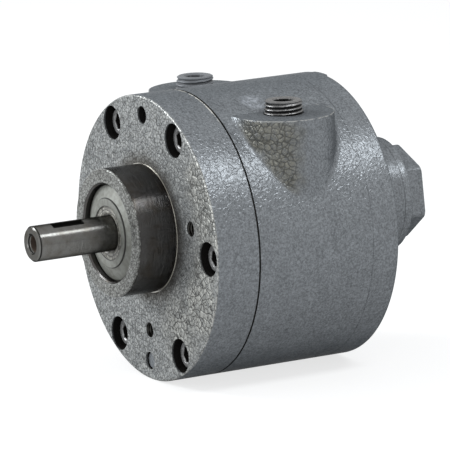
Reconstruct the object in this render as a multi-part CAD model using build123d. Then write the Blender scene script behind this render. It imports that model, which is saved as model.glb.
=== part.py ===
"""Hub-mounted rotary vane air motor, in millimetres.

The shaft lies along Y and points to -Y, and +Z is up. The origin is on the shaft's axis, in the
front face of the drive end plate, where the hub stands. The round body and both plates are
centred below the shaft, so that the rotor runs close to the top of the bore, between the ports.
"""
import math
import os

from build123d import *

# Housing
body_d = 153.0            # outside of the body and both plates
offset = 5.8              # height of the shaft above the housing's centre
drive_plate_t = 25.0
body_length = 68.6
dead_plate_t = 16.0
gasket_t = 0.4
drive_gasket_inset = 0.5  # the gasket's edge lies this far inside the housing's
dead_gasket_inset = 0.05  # this seam is nearly filled with paint
seam_chamfer = 0.3        # each side of the drive end's seam
rim_round = 1.2           # front edge of the drive end plate
rear_round = 2.0          # rear edge of the dead end plate
lug_width = 13.0          # cast lug that squares that edge at the top
boss_root_round = 3.0
body_wall = 24.5          # between the bore and the outside
bore_d = body_d - 2 * body_wall
bore_nip = 0.1            # running gap between rotor and bore at the top

# Hub and the seats inside it
hub_d = 68.4
hub_length = 23.3
hub_mouth_chamfer = 1.0
hub_edge_chamfer = 0.5
hub_foot_step = 0.4       # the foot in the plate is this much larger in radius than the hub
seal_recess = 3.8         # hub's face to the seal case's rim
seal_width = 7.0
seal_to_bearing = 0.5
shaft_hole_gap = 0.5      # round the shaft where it passes through a plate
seat_relief = 1.0         # depth cut back behind each bearing's inner ring

# Port bosses, one each side of the top
port_boss_r = 27.0
port_side_gap = 4.6       # outer side of a boss, inside the body's side
port_boss_x = body_d / 2 - port_side_gap - port_boss_r
port_x = port_boss_x + 2.0
port_y = 59.1             # port axis from the front face of the drive end plate
port_boss_back = 0.8      # boss axis behind the port's
port_pad_drop = 9.2       # flat pad below the body's top
port_pad_height = body_d / 2 - port_pad_drop
port_boss_round = 5.0
port_thread_r = 10.7
port_thread_depth = 17.0
port_passage_r = 8.0
port_passage_drop = 11.0  # how far the passage reaches below the nip of the bore wall

# Screws, dowels and tapped mounting holes of the plates
screw_edge = 10.1         # screw axis from the outside of the plates
screw_circle_r = body_d / 2 - screw_edge
screw_count = 6
screw_shank_r = 4.75
screw_head_r = 7.15
screw_head_h = 9.5
screw_socket_af = 7.94
screw_socket_depth = 4.8
screw_engagement = 17.0
screw_hole_extra = 3.0    # tapped hole below the screw's end
screw_thread_gap = 0.05
screw_clearance_gap = 0.4
counterbore_r = 9.2
drive_head_recess = 4.0   # plate face to the screw head
dead_head_recess = 0.6
dowel_r = 4.75
dowel_length = 32.0
dowel_recesses = (5.0, 1.5)  # plate face to the top and the bottom pin
dowel_gap = 0.01
mount_hole_r = 3.97       # tapping size of the mounting holes
mount_hole_depth = 18.0
mount_hole_chamfer = 0.6
mount_circle_r = 49.8     # about the housing's centre
mount_angles = (15.0, 165.0, -90.0)

# Rear boss and cap
boss_d = 62.0
boss_length = 32.3
boss_bearing_depth = 26.7  # boss end to the shoulder behind the bearing
cap_flange_t = 6.8
cap_flange_rim = 4.3      # straight side of the flange, before it slopes to the hexagon
cap_hex_h = 10.5
cap_hex_af = 44.45
cap_hex_turn = 37.5       # where one corner points, from +X towards +Z
cap_spigot_length = 10.0
cap_spigot_wall = 6.0
cap_thread_gap = 0.05
cap_thread_r = 24.6
cap_edge = 0.6
oring_mid_r = 27.9
oring_section = 1.94
oring_gap = 0.03          # round the ring in its groove

# Rotor, vanes and shaft
vane_count = 4
vane_t = 6.0
vane_gap = 0.1
vane_below = 0.2          # vane tip below the rotor's surface when it is pushed home
vane_tip_round = 1.0
vane_turn = 30.0
rotor_end_gap = 0.1
rotor_seat_d = 28.0
slot_floor_gap = 0.5      # under a vane that is pushed home
slot_floor_wall = 7.9     # rotor left between a slot and the shaft
shaft_d = 19.05
shaft_reach = 44.7        # shaft end beyond the hub's face
shaft_shoulder_d = 23.0
shaft_chamfer = 1.0
journal_d = 20.0          # ground for the seal and the drive end bearing
journal_inset = 1.5       # hub's face to the start of the journal
shaft_tail = 5.0          # shaft beyond the dead end bearing
shaft_turn = 71.5         # where the keyway points, from +X towards +Z
keyway_w = 4.76
keyway_depth = 2.4
keyway_length = 18.3
keyway_inset = 10.7       # shaft end to the keyway
centre_hole_r = 2.6
centre_hole_depth = 14.0
centre_cone_r = 5.6
circlip_t = 1.2
circlip_depth = 0.8
circlip_height = 2.6
circlip_opening = 40.0
circlip_side_gap = 0.1

# Ball bearings: bore, outside, width, balls, ball diameter
drive_bearing = dict(bore=journal_d, outside=52.0, width=15.0, balls=7, ball=9.525)
dead_bearing = dict(bore=20.0, outside=47.0, width=14.0, balls=8, ball=7.938)
ball_gap = 0.02
race_depth = 1.35
race_conformity = 0.52
cage_t = 2.4
cage_window_gap = 0.15
cage_side_wall = 0.9
shield_t = 0.6
shield_inset = 0.4
shield_gap = 0.3

# Shaft seal
seal_wall = 1.0
seal_cone_rise = 3.3      # how far the cover's middle stands out past its rim
seal_cone_r = 18.6
seal_step = 0.5
seal_mouth_r = 14.2
seal_lip_gap = 0.05
seal_spring_r = 0.8

# Preload washer behind the dead end bearing
preload_t = 0.8
preload_gap = 0.3

# Port plugs
plug_top_r = 9.7
plug_stand = 7.2          # plug above its pad
plug_chamfer = 0.7
plug_engagement = 11.0
plug_gap = 0.05
plug_socket_af = 9.5
plug_socket_depth = 6.0

hub_foot_r = hub_d / 2 + hub_foot_step

# Places along the shaft, from the front face of the drive end plate
hub_face_y = -hub_length
seal_rim_y = hub_face_y + seal_recess
seal_back_y = seal_rim_y + seal_width
drive_bearing_y = seal_back_y + seal_to_bearing
drive_shoulder_y = drive_bearing_y + drive_bearing["width"]
body_front_y = drive_plate_t + gasket_t
body_back_y = body_front_y + body_length
dead_front_y = body_back_y + gasket_t
dead_back_y = dead_front_y + dead_plate_t
boss_end_y = dead_back_y + boss_length
dead_bearing_y = boss_end_y - boss_bearing_depth
dead_bearing_back_y = dead_bearing_y + dead_bearing["width"]
spigot_y = boss_end_y - cap_spigot_length
flange_end_y = boss_end_y + cap_flange_t
cap_end_y = flange_end_y + cap_hex_h
shaft_front_y = hub_face_y - shaft_reach
journal_y = hub_face_y + journal_inset
shaft_back_y = dead_bearing_back_y + shaft_tail
rotor_front_y = drive_plate_t + rotor_end_gap
rotor_back_y = dead_front_y - rotor_end_gap
rotor_r = bore_d / 2 - offset - bore_nip
slot_floor_r = rotor_seat_d / 2 + slot_floor_wall
vane_height = rotor_r - vane_below - slot_floor_gap - slot_floor_r


def turned(points, centre_z=0.0):
    """Solid of revolution about a line along Y, from (radius, y) points."""
    face = make_face(Polyline(*points, close=True))
    return Pos(0, 0, centre_z) * revolve(face, Axis.Y)


def rod(radius, y0, y1, x=0.0, z=0.0):
    """Cylinder along Y from y0 to y1."""
    return Pos(x, (y0 + y1) / 2, z) * Rot(90, 0, 0) * Cylinder(radius, abs(y1 - y0))


def post(radius, z0, z1, x, y):
    """Cylinder along Z from z0 to z1."""
    return Pos(x, y, (z0 + z1) / 2) * Cylinder(radius, abs(z1 - z0))


def hexagon(across_flats, y0, y1, turn=0.0, x=0.0, z=0.0):
    """Hexagonal prism along Y, one corner turned from +X towards +Z."""
    flat = RegularPolygon(across_flats / 2, 6, major_radius=False)
    prism = extrude(flat, y1 - y0)
    return Pos(x, y1, z) * Rot(90, 0, 0) * Rot(0, 0, turn) * prism


def ring_torus(major, minor, y):
    """Torus round the shaft's axis."""
    return Pos(0, y, 0) * Rot(90, 0, 0) * Torus(major, minor)


def on_housing_circle(radius, angles):
    """Places (x, z) on a circle about the housing's centre."""
    return [(radius * math.cos(math.radians(a)), radius * math.sin(math.radians(a)) - offset)
            for a in angles]


def screw_places():
    """The six screws, the first one straight out on +X."""
    return on_housing_circle(screw_circle_r, [i * 360 / screw_count for i in range(screw_count)])


def dowel_places():
    """The dowels stand at the top and the bottom of the screw circle."""
    return on_housing_circle(screw_circle_r, [90, -90])


def edges_at(solid, y, radius, centre_z=0.0, slack=0.01):
    """Round edges in the plane at y whose radius is given, about a centre on the middle plane."""
    found = []
    for edge in solid.edges().filter_by(GeomType.CIRCLE):
        middle = edge.arc_center
        here = abs(middle.Y - y) < slack and abs(middle.X) < slack
        if here and abs(middle.Z - centre_z) < slack and abs(edge.radius - radius) < slack:
            found.append(edge)
    return found


def plate_holes(face_y, inward, head_recess, plate_inner_y):
    """Everything drilled into a plate for its screws and dowels; inward is +1 or -1 along Y."""
    floor_y = face_y + inward * (head_recess + screw_head_h)
    cuts = []
    for x, z in screw_places():
        cuts.append(rod(counterbore_r, face_y, floor_y, x, z))
        cuts.append(rod(screw_shank_r + screw_clearance_gap, floor_y, plate_inner_y, x, z))
    for x, z in dowel_places():
        cuts.append(rod(dowel_r + dowel_gap, face_y, plate_inner_y, x, z))
    return cuts


def drive_end_plate():
    """Thick front plate with the hub's seat and the tapped mounting holes."""
    plate = rod(body_d / 2, 0, drive_plate_t, 0, -offset)
    plate = fillet(edges_at(plate, 0, body_d / 2, -offset), rim_round)
    plate = chamfer(edges_at(plate, drive_plate_t, body_d / 2, -offset), seam_chamfer)
    relief_r = outer_shoulder_r(drive_bearing)
    hole_r = shaft_shoulder_d / 2 + shaft_hole_gap
    plate -= turned([
        (0, 0), (hub_foot_r, 0), (hub_foot_r, drive_shoulder_y),
        (relief_r, drive_shoulder_y), (relief_r, drive_shoulder_y + seat_relief),
        (hole_r, drive_shoulder_y + seat_relief), (hole_r, drive_plate_t), (0, drive_plate_t),
    ])
    for cut in plate_holes(0, 1, drive_head_recess, drive_plate_t):
        plate -= cut
    for x, z in on_housing_circle(mount_circle_r, mount_angles):
        plate -= Pos(x, 0, z) * turned([
            (0, 0), (mount_hole_r + mount_hole_chamfer, 0), (mount_hole_r, mount_hole_chamfer),
            (mount_hole_r, mount_hole_depth), (0, mount_hole_depth + mount_hole_r / 2),
        ])
    return plate


def drive_end_hub():
    """Turned hub that holds the drive end bearing and the seal, its foot sunk in the plate."""
    bore_r = drive_bearing["outside"] / 2
    return turned([
        (bore_r + hub_mouth_chamfer, hub_face_y), (hub_d / 2 - hub_edge_chamfer, hub_face_y),
        (hub_d / 2, hub_face_y + hub_edge_chamfer), (hub_d / 2, 0),
        (hub_foot_r, 0), (hub_foot_r, drive_shoulder_y), (bore_r, drive_shoulder_y),
        (bore_r, hub_face_y + hub_mouth_chamfer),
    ])


def body_casting():
    """Round body with the offset bore and a port boss at each upper corner."""
    body_r = body_d / 2
    pad_z = port_pad_height - offset
    body = rod(body_r, body_front_y, body_back_y, 0, -offset)
    body = chamfer(edges_at(body, body_front_y, body_r, -offset), seam_chamfer)
    for side in (-1, 1):
        body += post(port_boss_r, 0, body_r, side * port_boss_x, port_y + port_boss_back)
    body = fillet(boss_root_edges(body), port_boss_round)
    body -= space_over_pads()
    body -= rod(bore_d / 2, body_front_y, body_back_y, 0, -offset)
    wall_z = math.sqrt((bore_d / 2) ** 2 - port_x ** 2) - offset
    for side in (-1, 1):
        x = side * port_x
        body -= post(port_thread_r, pad_z - port_thread_depth, body_r, x, port_y)
        body -= post(port_passage_r, wall_z - port_passage_drop, pad_z, x, port_y)
    deep = screw_engagement + screw_hole_extra
    for x, z in screw_places():
        tapped = screw_shank_r + screw_thread_gap
        body -= rod(tapped, body_front_y, body_front_y + deep, x, z)
        body -= rod(tapped, body_back_y - deep, body_back_y, x, z)
    dowel_end = max(dowel_recesses) + dowel_length + screw_hole_extra
    for x, z in dowel_places():
        body -= rod(dowel_r + dowel_gap, body_front_y, dowel_end, x, z)
        body -= rod(dowel_r + dowel_gap, dead_back_y - dowel_end, body_back_y, x, z)
    return body


def boss_root_edges(body):
    """Curved edges where the bosses run into the round body."""
    found = []
    for edge in body.edges():
        points = [edge @ share for share in (0.1, 0.5, 0.77)]
        on_body = all(abs(math.hypot(p.X, p.Z + offset) - body_d / 2) < 0.05 for p in points)
        if on_body and edge.geom_type == GeomType.BSPLINE:
            found.append(edge)
    return found


def space_over_pads():
    """Everything above the pads' height that lies outside the round body."""
    pad_z = port_pad_height - offset
    middle_y = (body_front_y + body_back_y) / 2
    block = Pos(0, middle_y, pad_z + body_d / 2) * Box(2 * body_d, body_length, body_d)
    return block - rod(body_d / 2, body_front_y, body_back_y, 0, -offset)


def dead_end_plate():
    """Rear plate with the long bearing boss, bored and threaded from behind."""
    plate = rod(body_d / 2, dead_front_y, dead_back_y, 0, -offset)
    plate = fillet(edges_at(plate, dead_back_y, body_d / 2, -offset), rear_round)
    plate += rod(boss_d / 2, dead_back_y, boss_end_y)
    plate = fillet(edges_at(plate, dead_back_y, boss_d / 2), boss_root_round)
    plate += top_lug()
    seat_r = dead_bearing["outside"] / 2
    hole_r = shaft_shoulder_d / 2 + shaft_hole_gap
    relief_r = outer_shoulder_r(dead_bearing)
    thread_y = dead_bearing_back_y + preload_gap
    plate -= turned([
        (0, dead_front_y), (hole_r, dead_front_y), (hole_r, dead_bearing_y - seat_relief),
        (relief_r, dead_bearing_y - seat_relief), (relief_r, dead_bearing_y),
        (seat_r, dead_bearing_y), (seat_r, thread_y), (cap_thread_r, thread_y),
        (cap_thread_r, boss_end_y), (0, boss_end_y),
    ])
    for cut in plate_holes(dead_back_y, -1, dead_head_recess, dead_front_y):
        plate -= cut
    return plate


def top_lug():
    """Lug at the top of the dead end plate's rear edge, as far out as the plate's side."""
    reach = 2 * rear_round
    block = Pos(0, dead_back_y - reach / 2, body_d / 2 - offset) * Box(lug_width, reach, 2 * reach)
    return block & rod(body_d / 2, dead_back_y - reach, dead_back_y, 0, -offset)


def gasket(y0, inset):
    """Flat gasket between the body and a plate, with every hole cleared."""
    sheet = rod(body_d / 2 - inset, y0, y0 + gasket_t, 0, -offset)
    sheet -= rod(bore_d / 2, y0, y0 + gasket_t, 0, -offset)
    for x, z in screw_places():
        sheet -= rod(screw_shank_r + screw_clearance_gap, y0, y0 + gasket_t, x, z)
    for x, z in dowel_places():
        sheet -= rod(dowel_r + screw_clearance_gap, y0, y0 + gasket_t, x, z)
    return sheet


def cap_screw(x, z, top_y, inward, tip_y):
    """Socket-head cap screw whose head ends at top_y and whose tip is at tip_y."""
    under_y = top_y + inward * screw_head_h
    socket_y = top_y + inward * screw_socket_depth
    bevel = screw_head_r * 0.08
    head = turned([(0, top_y), (screw_head_r - bevel, top_y), (screw_head_r, top_y + inward * bevel),
                   (screw_head_r, under_y), (0, under_y)])
    head -= hexagon(screw_socket_af, min(top_y, socket_y), max(top_y, socket_y))
    return Pos(x, 0, z) * (head + rod(screw_shank_r, under_y, tip_y))


def drive_end_screws():
    """Six cap screws through the front plate."""
    tip = body_front_y + screw_engagement
    return Compound(children=[cap_screw(x, z, drive_head_recess, 1, tip) for x, z in screw_places()])


def dead_end_screws():
    """Six cap screws through the rear plate."""
    top = dead_back_y - dead_head_recess
    tip = body_back_y - screw_engagement
    return Compound(children=[cap_screw(x, z, top, -1, tip) for x, z in screw_places()])


def dowels(face_y, inward):
    """Two dowel pins with bevelled ends, driven in from a plate's face."""
    bevel = dowel_r * 0.12
    half = dowel_length / 2
    pin = turned([(0, -half), (dowel_r - bevel, -half), (dowel_r, bevel - half),
                  (dowel_r, half - bevel), (dowel_r - bevel, half), (0, half)])
    middles = [face_y + inward * (recess + half) for recess in dowel_recesses]
    return Compound(children=[Pos(x, y, z) * pin for (x, z), y in zip(dowel_places(), middles)])


def port_plug(side):
    """Plug screwed into a port, with a tapered head and a hexagon socket."""
    pad_z = port_pad_height - offset
    shank_r = port_thread_r - plug_gap
    plug = make_face(Polyline(
        (0, -plug_engagement), (shank_r - plug_chamfer, -plug_engagement),
        (shank_r, plug_chamfer - plug_engagement), (shank_r, 0),
        (plug_top_r, plug_stand - plug_chamfer), (plug_top_r - plug_chamfer, plug_stand),
        (0, plug_stand), close=True))
    plug = Rot(90, 0, 0) * revolve(plug, Axis.Y)
    socket = extrude(RegularPolygon(plug_socket_af / 2, 6, major_radius=False), plug_socket_depth)
    plug -= Pos(0, 0, plug_stand - plug_socket_depth) * socket
    return Pos(side * port_x, port_y, pad_z) * plug


def port_plugs():
    """The two plugs."""
    return Compound(children=[port_plug(-1), port_plug(1)])


def end_cap():
    """Bearing cap with a round flange, a hexagon and a threaded spigot."""
    corner_r = cap_hex_af / math.sqrt(3)
    cap = turned([
        (0, boss_end_y), (boss_d / 2, boss_end_y), (boss_d / 2, boss_end_y + cap_flange_rim),
        (corner_r + cap_edge, flange_end_y), (0, flange_end_y),
    ])
    head = hexagon(cap_hex_af, flange_end_y, cap_end_y, cap_hex_turn)
    head &= turned([
        (0, flange_end_y), (corner_r, flange_end_y), (corner_r, cap_end_y - cap_edge),
        (corner_r - 2 * cap_edge, cap_end_y), (0, cap_end_y),
    ])
    cap += head
    spigot_r = cap_thread_r - cap_thread_gap
    cap += rod(spigot_r, spigot_y, boss_end_y)
    cap -= rod(spigot_r - cap_spigot_wall, spigot_y, boss_end_y)
    groove_r = oring_section / 2 + oring_gap
    return cap - turned([
        (oring_mid_r - groove_r, boss_end_y), (oring_mid_r + groove_r, boss_end_y),
        (oring_mid_r + groove_r, boss_end_y + 2 * groove_r),
        (oring_mid_r - groove_r, boss_end_y + 2 * groove_r),
    ])


def end_cap_oring():
    """Ring in the groove under the cap's flange."""
    return ring_torus(oring_mid_r, oring_section / 2, boss_end_y + oring_section / 2 + oring_gap)


def shaft():
    """Stepped shaft with its keyway, centre hole and circlip groove."""
    end_r = shaft_d / 2
    seat_r = journal_d / 2
    tail_r = dead_bearing["bore"] / 2
    collar_r = shaft_shoulder_d / 2
    core_r = rotor_seat_d / 2
    clip_y = dead_bearing_back_y + circlip_side_gap
    solid = turned([
        (0, shaft_front_y), (end_r - shaft_chamfer, shaft_front_y),
        (end_r, shaft_front_y + shaft_chamfer), (end_r, journal_y), (seat_r, journal_y),
        (seat_r, drive_shoulder_y), (collar_r, drive_shoulder_y), (collar_r, rotor_front_y),
        (core_r, rotor_front_y), (core_r, rotor_back_y), (collar_r, rotor_back_y),
        (collar_r, dead_bearing_y), (tail_r, dead_bearing_y), (tail_r, clip_y),
        (tail_r - circlip_depth, clip_y), (tail_r - circlip_depth, clip_y + circlip_t),
        (tail_r, clip_y + circlip_t), (tail_r, shaft_back_y - shaft_chamfer),
        (tail_r - shaft_chamfer, shaft_back_y), (0, shaft_back_y),
    ])
    solid -= turned([
        (0, shaft_front_y), (centre_cone_r, shaft_front_y),
        (centre_hole_r, shaft_front_y + (centre_cone_r - centre_hole_r) * math.sqrt(3)),
        (centre_hole_r, shaft_front_y + centre_hole_depth), (0, shaft_front_y + centre_hole_depth),
    ])
    key_mid = shaft_front_y + keyway_inset + keyway_length / 2
    pocket = Pos(0, key_mid, end_r) * Box(keyway_w, keyway_length, 2 * keyway_depth)
    return solid - Rot(0, 90 - shaft_turn, 0) * pocket


def vane_angle(index):
    """Turn of a vane about Y, from +Z towards +X."""
    return vane_turn + index * 360 / vane_count


def rotor():
    """Slotted rotor on the shaft's thick middle."""
    core = rod(rotor_r, rotor_front_y, rotor_back_y)
    core -= rod(rotor_seat_d / 2, rotor_front_y, rotor_back_y)
    length = rotor_back_y - rotor_front_y
    depth = rotor_r + 1 - slot_floor_r
    slot = Box(vane_t + 2 * vane_gap, length, depth)
    slot = Pos(0, (rotor_front_y + rotor_back_y) / 2, slot_floor_r + depth / 2) * slot
    for i in range(vane_count):
        core -= Rot(0, vane_angle(i), 0) * slot
    return core


def vane(index):
    """Flat vane with a rounded tip, pushed home in its slot."""
    length = rotor_back_y - rotor_front_y
    top = rotor_r - vane_below
    blade = Box(vane_t, length, vane_height)
    blade = fillet(blade.edges().filter_by(Axis.Y).group_by(Axis.Z)[-1], vane_tip_round)
    blade = Pos(0, (rotor_front_y + rotor_back_y) / 2, top - vane_height / 2) * blade
    return Rot(0, vane_angle(index), 0) * blade


def pitch_r(size):
    """Radius of the circle through the balls' centres."""
    return (size["bore"] + size["outside"]) / 4


def outer_shoulder_r(size):
    """Inside radius of the outer ring, beside its raceway."""
    return pitch_r(size) + size["ball"] / 2 + ball_gap - race_depth


def inner_shoulder_r(size):
    """Outside radius of the inner ring, beside its raceway."""
    return pitch_r(size) - size["ball"] / 2 - ball_gap + race_depth


def bearing_rings(size, y0):
    """Outer and inner ring with their raceways."""
    y1 = y0 + size["width"]
    mid = (y0 + y1) / 2
    race_r = race_conformity * size["ball"]
    outer = rod(size["outside"] / 2, y0, y1) - rod(outer_shoulder_r(size), y0, y1)
    outer -= ring_torus(outer_shoulder_r(size) + race_depth - race_r, race_r, mid)
    inner = rod(inner_shoulder_r(size), y0, y1) - rod(size["bore"] / 2, y0, y1)
    inner -= ring_torus(inner_shoulder_r(size) - race_depth + race_r, race_r, mid)
    return outer, inner


def bearing_balls(size, y0):
    """The balls, evenly spaced."""
    mid = y0 + size["width"] / 2
    step = 360 / size["balls"]
    ball = Pos(0, mid, pitch_r(size)) * Sphere(size["ball"] / 2)
    return Compound(children=[Rot(0, i * step, 0) * ball for i in range(size["balls"])])


def bearing_cage(size, y0):
    """Solid cage with a window for each ball."""
    mid = y0 + size["width"] / 2
    window_r = size["ball"] / 2 + cage_window_gap
    half = window_r + cage_side_wall
    cage = rod(pitch_r(size) + cage_t / 2, mid - half, mid + half)
    cage -= rod(pitch_r(size) - cage_t / 2, mid - half, mid + half)
    window = Pos(0, mid, pitch_r(size)) * Sphere(window_r)
    for i in range(size["balls"]):
        cage -= Rot(0, i * 360 / size["balls"], 0) * window
    return cage


def bearing_shields(size, y0):
    """A thin shield each side, held in the outer ring."""
    outer_r = outer_shoulder_r(size)
    inner_r = inner_shoulder_r(size) + shield_gap
    near = y0 + shield_inset
    far = y0 + size["width"] - shield_inset - shield_t
    discs = [rod(outer_r, y, y + shield_t) - rod(inner_r, y, y + shield_t) for y in (near, far)]
    return Compound(children=discs)


def shaft_seal_case():
    """Pressed cover, dished outwards, with a skirt in the bore that holds the bearing."""
    r = drive_bearing["outside"] / 2
    face_y = seal_rim_y - seal_cone_rise
    t = seal_wall
    return turned([
        (r, seal_back_y), (r, seal_rim_y), (seal_cone_r, face_y + seal_step),
        (seal_cone_r, face_y), (seal_mouth_r, face_y), (seal_mouth_r, face_y + t),
        (seal_cone_r - t, face_y + t), (seal_cone_r - t, face_y + seal_step + t),
        (r - t, seal_rim_y + t), (r - t, seal_back_y),
    ])


def shaft_seal_lip():
    """Rubber lip between the cover's mouth and the shaft."""
    face_y = seal_rim_y - seal_cone_rise
    run_r = journal_d / 2 + seal_lip_gap
    t = seal_wall
    return turned([
        (seal_mouth_r, face_y), (seal_mouth_r, face_y + t), (seal_cone_r - t, face_y + t),
        (seal_cone_r - t, face_y + 2 * t), (run_r + 2 * t, face_y + 5 * t),
        (run_r + t, face_y + 5 * t), (run_r, face_y + 4.5 * t), (run_r + 0.4 * t, face_y + 3.5 * t),
    ])


def seal_spring():
    """Garter spring that rests on the back of the lip."""
    face_y = seal_rim_y - seal_cone_rise
    middle_r = journal_d / 2 + seal_lip_gap + 1.5 * seal_wall
    return ring_torus(middle_r, seal_spring_r, face_y + 5 * seal_wall + seal_spring_r)


def preload_spring():
    """Bowed washer between the dead end bearing and the cap's spigot."""
    outer_r = dead_bearing["outside"] / 2 - preload_gap
    inner_r = outer_r - cap_spigot_wall + 2 * preload_t
    space = spigot_y - dead_bearing_back_y
    rise = space - preload_t - preload_gap
    bow_r = (outer_r ** 2 + rise ** 2) / (2 * rise)
    sheet_y = dead_bearing_back_y + preload_gap / 2 + bow_r + preload_t
    tube = rod(outer_r, dead_bearing_back_y, spigot_y) - rod(inner_r, dead_bearing_back_y, spigot_y)
    across = Rot(0, 90, 0)
    shell = across * Cylinder(bow_r + preload_t, body_d) - across * Cylinder(bow_r, body_d)
    return tube & (Pos(0, sheet_y, 0) * shell)


def shaft_circlip():
    """Open retaining ring behind the dead end bearing."""
    y0 = dead_bearing_back_y + circlip_side_gap
    inner_r = dead_bearing["bore"] / 2 - circlip_depth
    ring = rod(inner_r + circlip_height, y0, y0 + circlip_t) - rod(inner_r, y0, y0 + circlip_t)
    half = math.radians(circlip_opening / 2)
    reach = 2 * (inner_r + circlip_height)
    wedge = make_face(Polyline((0, 0), (reach * math.sin(half), reach * math.cos(half)),
                               (-reach * math.sin(half), reach * math.cos(half)), close=True))
    wedge = Pos(0, y0 + circlip_t, 0) * Rot(90, 0, 0) * extrude(wedge, circlip_t)
    return ring - wedge


def bearing_nodes(end, size, y0):
    """The five nodes of one ball bearing."""
    outer, inner = bearing_rings(size, y0)
    return {
        f"{end}_bearing_outer_ring": outer,
        f"{end}_bearing_inner_ring": inner,
        f"{end}_bearing_balls": bearing_balls(size, y0),
        f"{end}_bearing_cage": bearing_cage(size, y0),
        f"{end}_bearing_shields": bearing_shields(size, y0),
    }


def all_nodes():
    """Every node of the motor by name."""
    nodes = {
        "drive_end_plate": drive_end_plate(),
        "drive_end_hub": drive_end_hub(),
        "body_casting": body_casting(),
        "dead_end_plate": dead_end_plate(),
        "drive_end_gasket": gasket(drive_plate_t, drive_gasket_inset),
        "dead_end_gasket": gasket(body_back_y, dead_gasket_inset),
        "drive_end_screws": drive_end_screws(),
        "dead_end_screws": dead_end_screws(),
        "drive_end_dowels": dowels(0, 1),
        "dead_end_dowels": dowels(dead_back_y, -1),
        "port_plugs": port_plugs(),
        "end_cap": end_cap(),
        "end_cap_oring": end_cap_oring(),
        "shaft": shaft(),
        "rotor": rotor(),
        "shaft_seal_case": shaft_seal_case(),
        "shaft_seal_lip": shaft_seal_lip(),
        "seal_spring": seal_spring(),
        "preload_spring": preload_spring(),
        "shaft_circlip": shaft_circlip(),
    }
    for i in range(vane_count):
        nodes[f"vane_{i + 1}"] = vane(i)
    nodes.update(bearing_nodes("drive", drive_bearing, drive_bearing_y))
    nodes.update(bearing_nodes("dead", dead_bearing, dead_bearing_y))
    return nodes


os.makedirs("parts", exist_ok=True)
for node_name, node_shape in all_nodes().items():
    export_step(node_shape, f"parts/{node_name}.step")
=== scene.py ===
"""Looks of a hub-mounted rotary vane air motor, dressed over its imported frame.

Everything is in metres in the frame's own axes: the shaft lies along Y and points to -Y, +Z is up,
and the origin is on the shaft's axis, in the front face of the drive end plate.
"""
import logging
import math
from dataclasses import dataclass
from enum import Enum
from typing import Optional, Sequence, Union

import bpy
import numpy as np
from mathutils import Matrix, Vector


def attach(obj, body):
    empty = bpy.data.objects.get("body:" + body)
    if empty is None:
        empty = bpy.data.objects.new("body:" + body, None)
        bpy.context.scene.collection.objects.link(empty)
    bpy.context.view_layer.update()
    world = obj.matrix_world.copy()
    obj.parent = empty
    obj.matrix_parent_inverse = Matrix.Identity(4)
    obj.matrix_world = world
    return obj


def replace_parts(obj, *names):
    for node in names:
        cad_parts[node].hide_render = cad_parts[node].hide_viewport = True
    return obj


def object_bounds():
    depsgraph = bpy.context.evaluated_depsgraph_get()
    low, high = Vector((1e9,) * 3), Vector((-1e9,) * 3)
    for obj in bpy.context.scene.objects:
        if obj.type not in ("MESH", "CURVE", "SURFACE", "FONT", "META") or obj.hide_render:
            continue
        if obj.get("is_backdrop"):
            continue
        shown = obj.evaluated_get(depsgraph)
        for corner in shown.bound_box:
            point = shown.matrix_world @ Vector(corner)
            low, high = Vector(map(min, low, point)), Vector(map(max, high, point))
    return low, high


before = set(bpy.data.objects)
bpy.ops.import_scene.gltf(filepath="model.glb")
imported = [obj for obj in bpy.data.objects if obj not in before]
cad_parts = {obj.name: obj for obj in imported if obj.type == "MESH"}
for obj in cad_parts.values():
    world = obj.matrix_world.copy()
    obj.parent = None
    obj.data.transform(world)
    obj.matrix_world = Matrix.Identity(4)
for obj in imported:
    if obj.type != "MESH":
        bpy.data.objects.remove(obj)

LOG = logging.getLogger("air_motor")
MM = 0.001
Socket = bpy.types.NodeSocket
Value = Union[float, Socket]
Colour = tuple[float, float, float]
Point = tuple[float, float, float]
Pair = tuple[float, float]

# Sizes that pieces and finishes share, in millimetres
OFFSET = 5.8                       # height of the shaft above the housing's centre
SCREW_CIRCLE = 66.4                # circle of the screws and dowels about the housing's centre
SCREW_COUNT = 6
TAP_CIRCLE = 49.8                  # circle of the tapped holes
TAP_ANGLES = (15.0, 165.0, -90.0)  # their angles, from +X towards +Z, in degrees
PORT_CENTRE = (46.9, 59.1)         # X and Y of a port's axis
BOSS_CENTRE = (44.9, 59.9)         # X and Y of its boss's axis
PAD_Z = 61.5                       # height of the flat pads round the ports
PLUG_STAND = 7.2                   # plug above its pad
PLUG_CREST = (10.62, 9.75)         # radius of its thread at the pad and at the top
SEAL_FOLD = 18.6                   # radius at which the seal's cover folds

# Colours of rust, joints and the paint's dark veins, and of painted highlights and painted shade
# The paint's dark veins, darkened further as painted shade in its crevices
CREVICE_VEIN_AND_SHADE = (0.04, 0.039, 0.036)
# Light colour of a painted highlight along an edge
EDGE_HIGHLIGHT = (0.66, 0.65, 0.61)
# Bluish light of a painted highlight on the wrinkles
STREAK_HIGHLIGHT = (0.5, 0.53, 0.58)
# Brownish painted shade on the face round the hub's foot
HUB_SHADE = (0.06, 0.052, 0.042)
OPEN_JOINT = (0.012, 0.012, 0.011)
# Near black of the holes' walls: painted shade in the recesses
HOLE_SHADE = (0.016, 0.015, 0.014)
# Painted highlight along the hub's foot
FOOT_HIGHLIGHT = (0.45, 0.44, 0.41)
RUST = (0.06, 0.045, 0.036)
# Near black painted shade in the keyway and along the shaft end's chamfer
KEYWAY_SHADE = (0.008, 0.008, 0.007)
CHAMFER_SHADE = (0.01, 0.01, 0.009)
# Painted shade in the plugs' thread roots and sockets
THREAD_SHADE = (0.008, 0.008, 0.008)

# Shares and roughnesses that finishes share
DARK_CELL = 0.4      # darkest cell of the paint, as a share of the lightest
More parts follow.
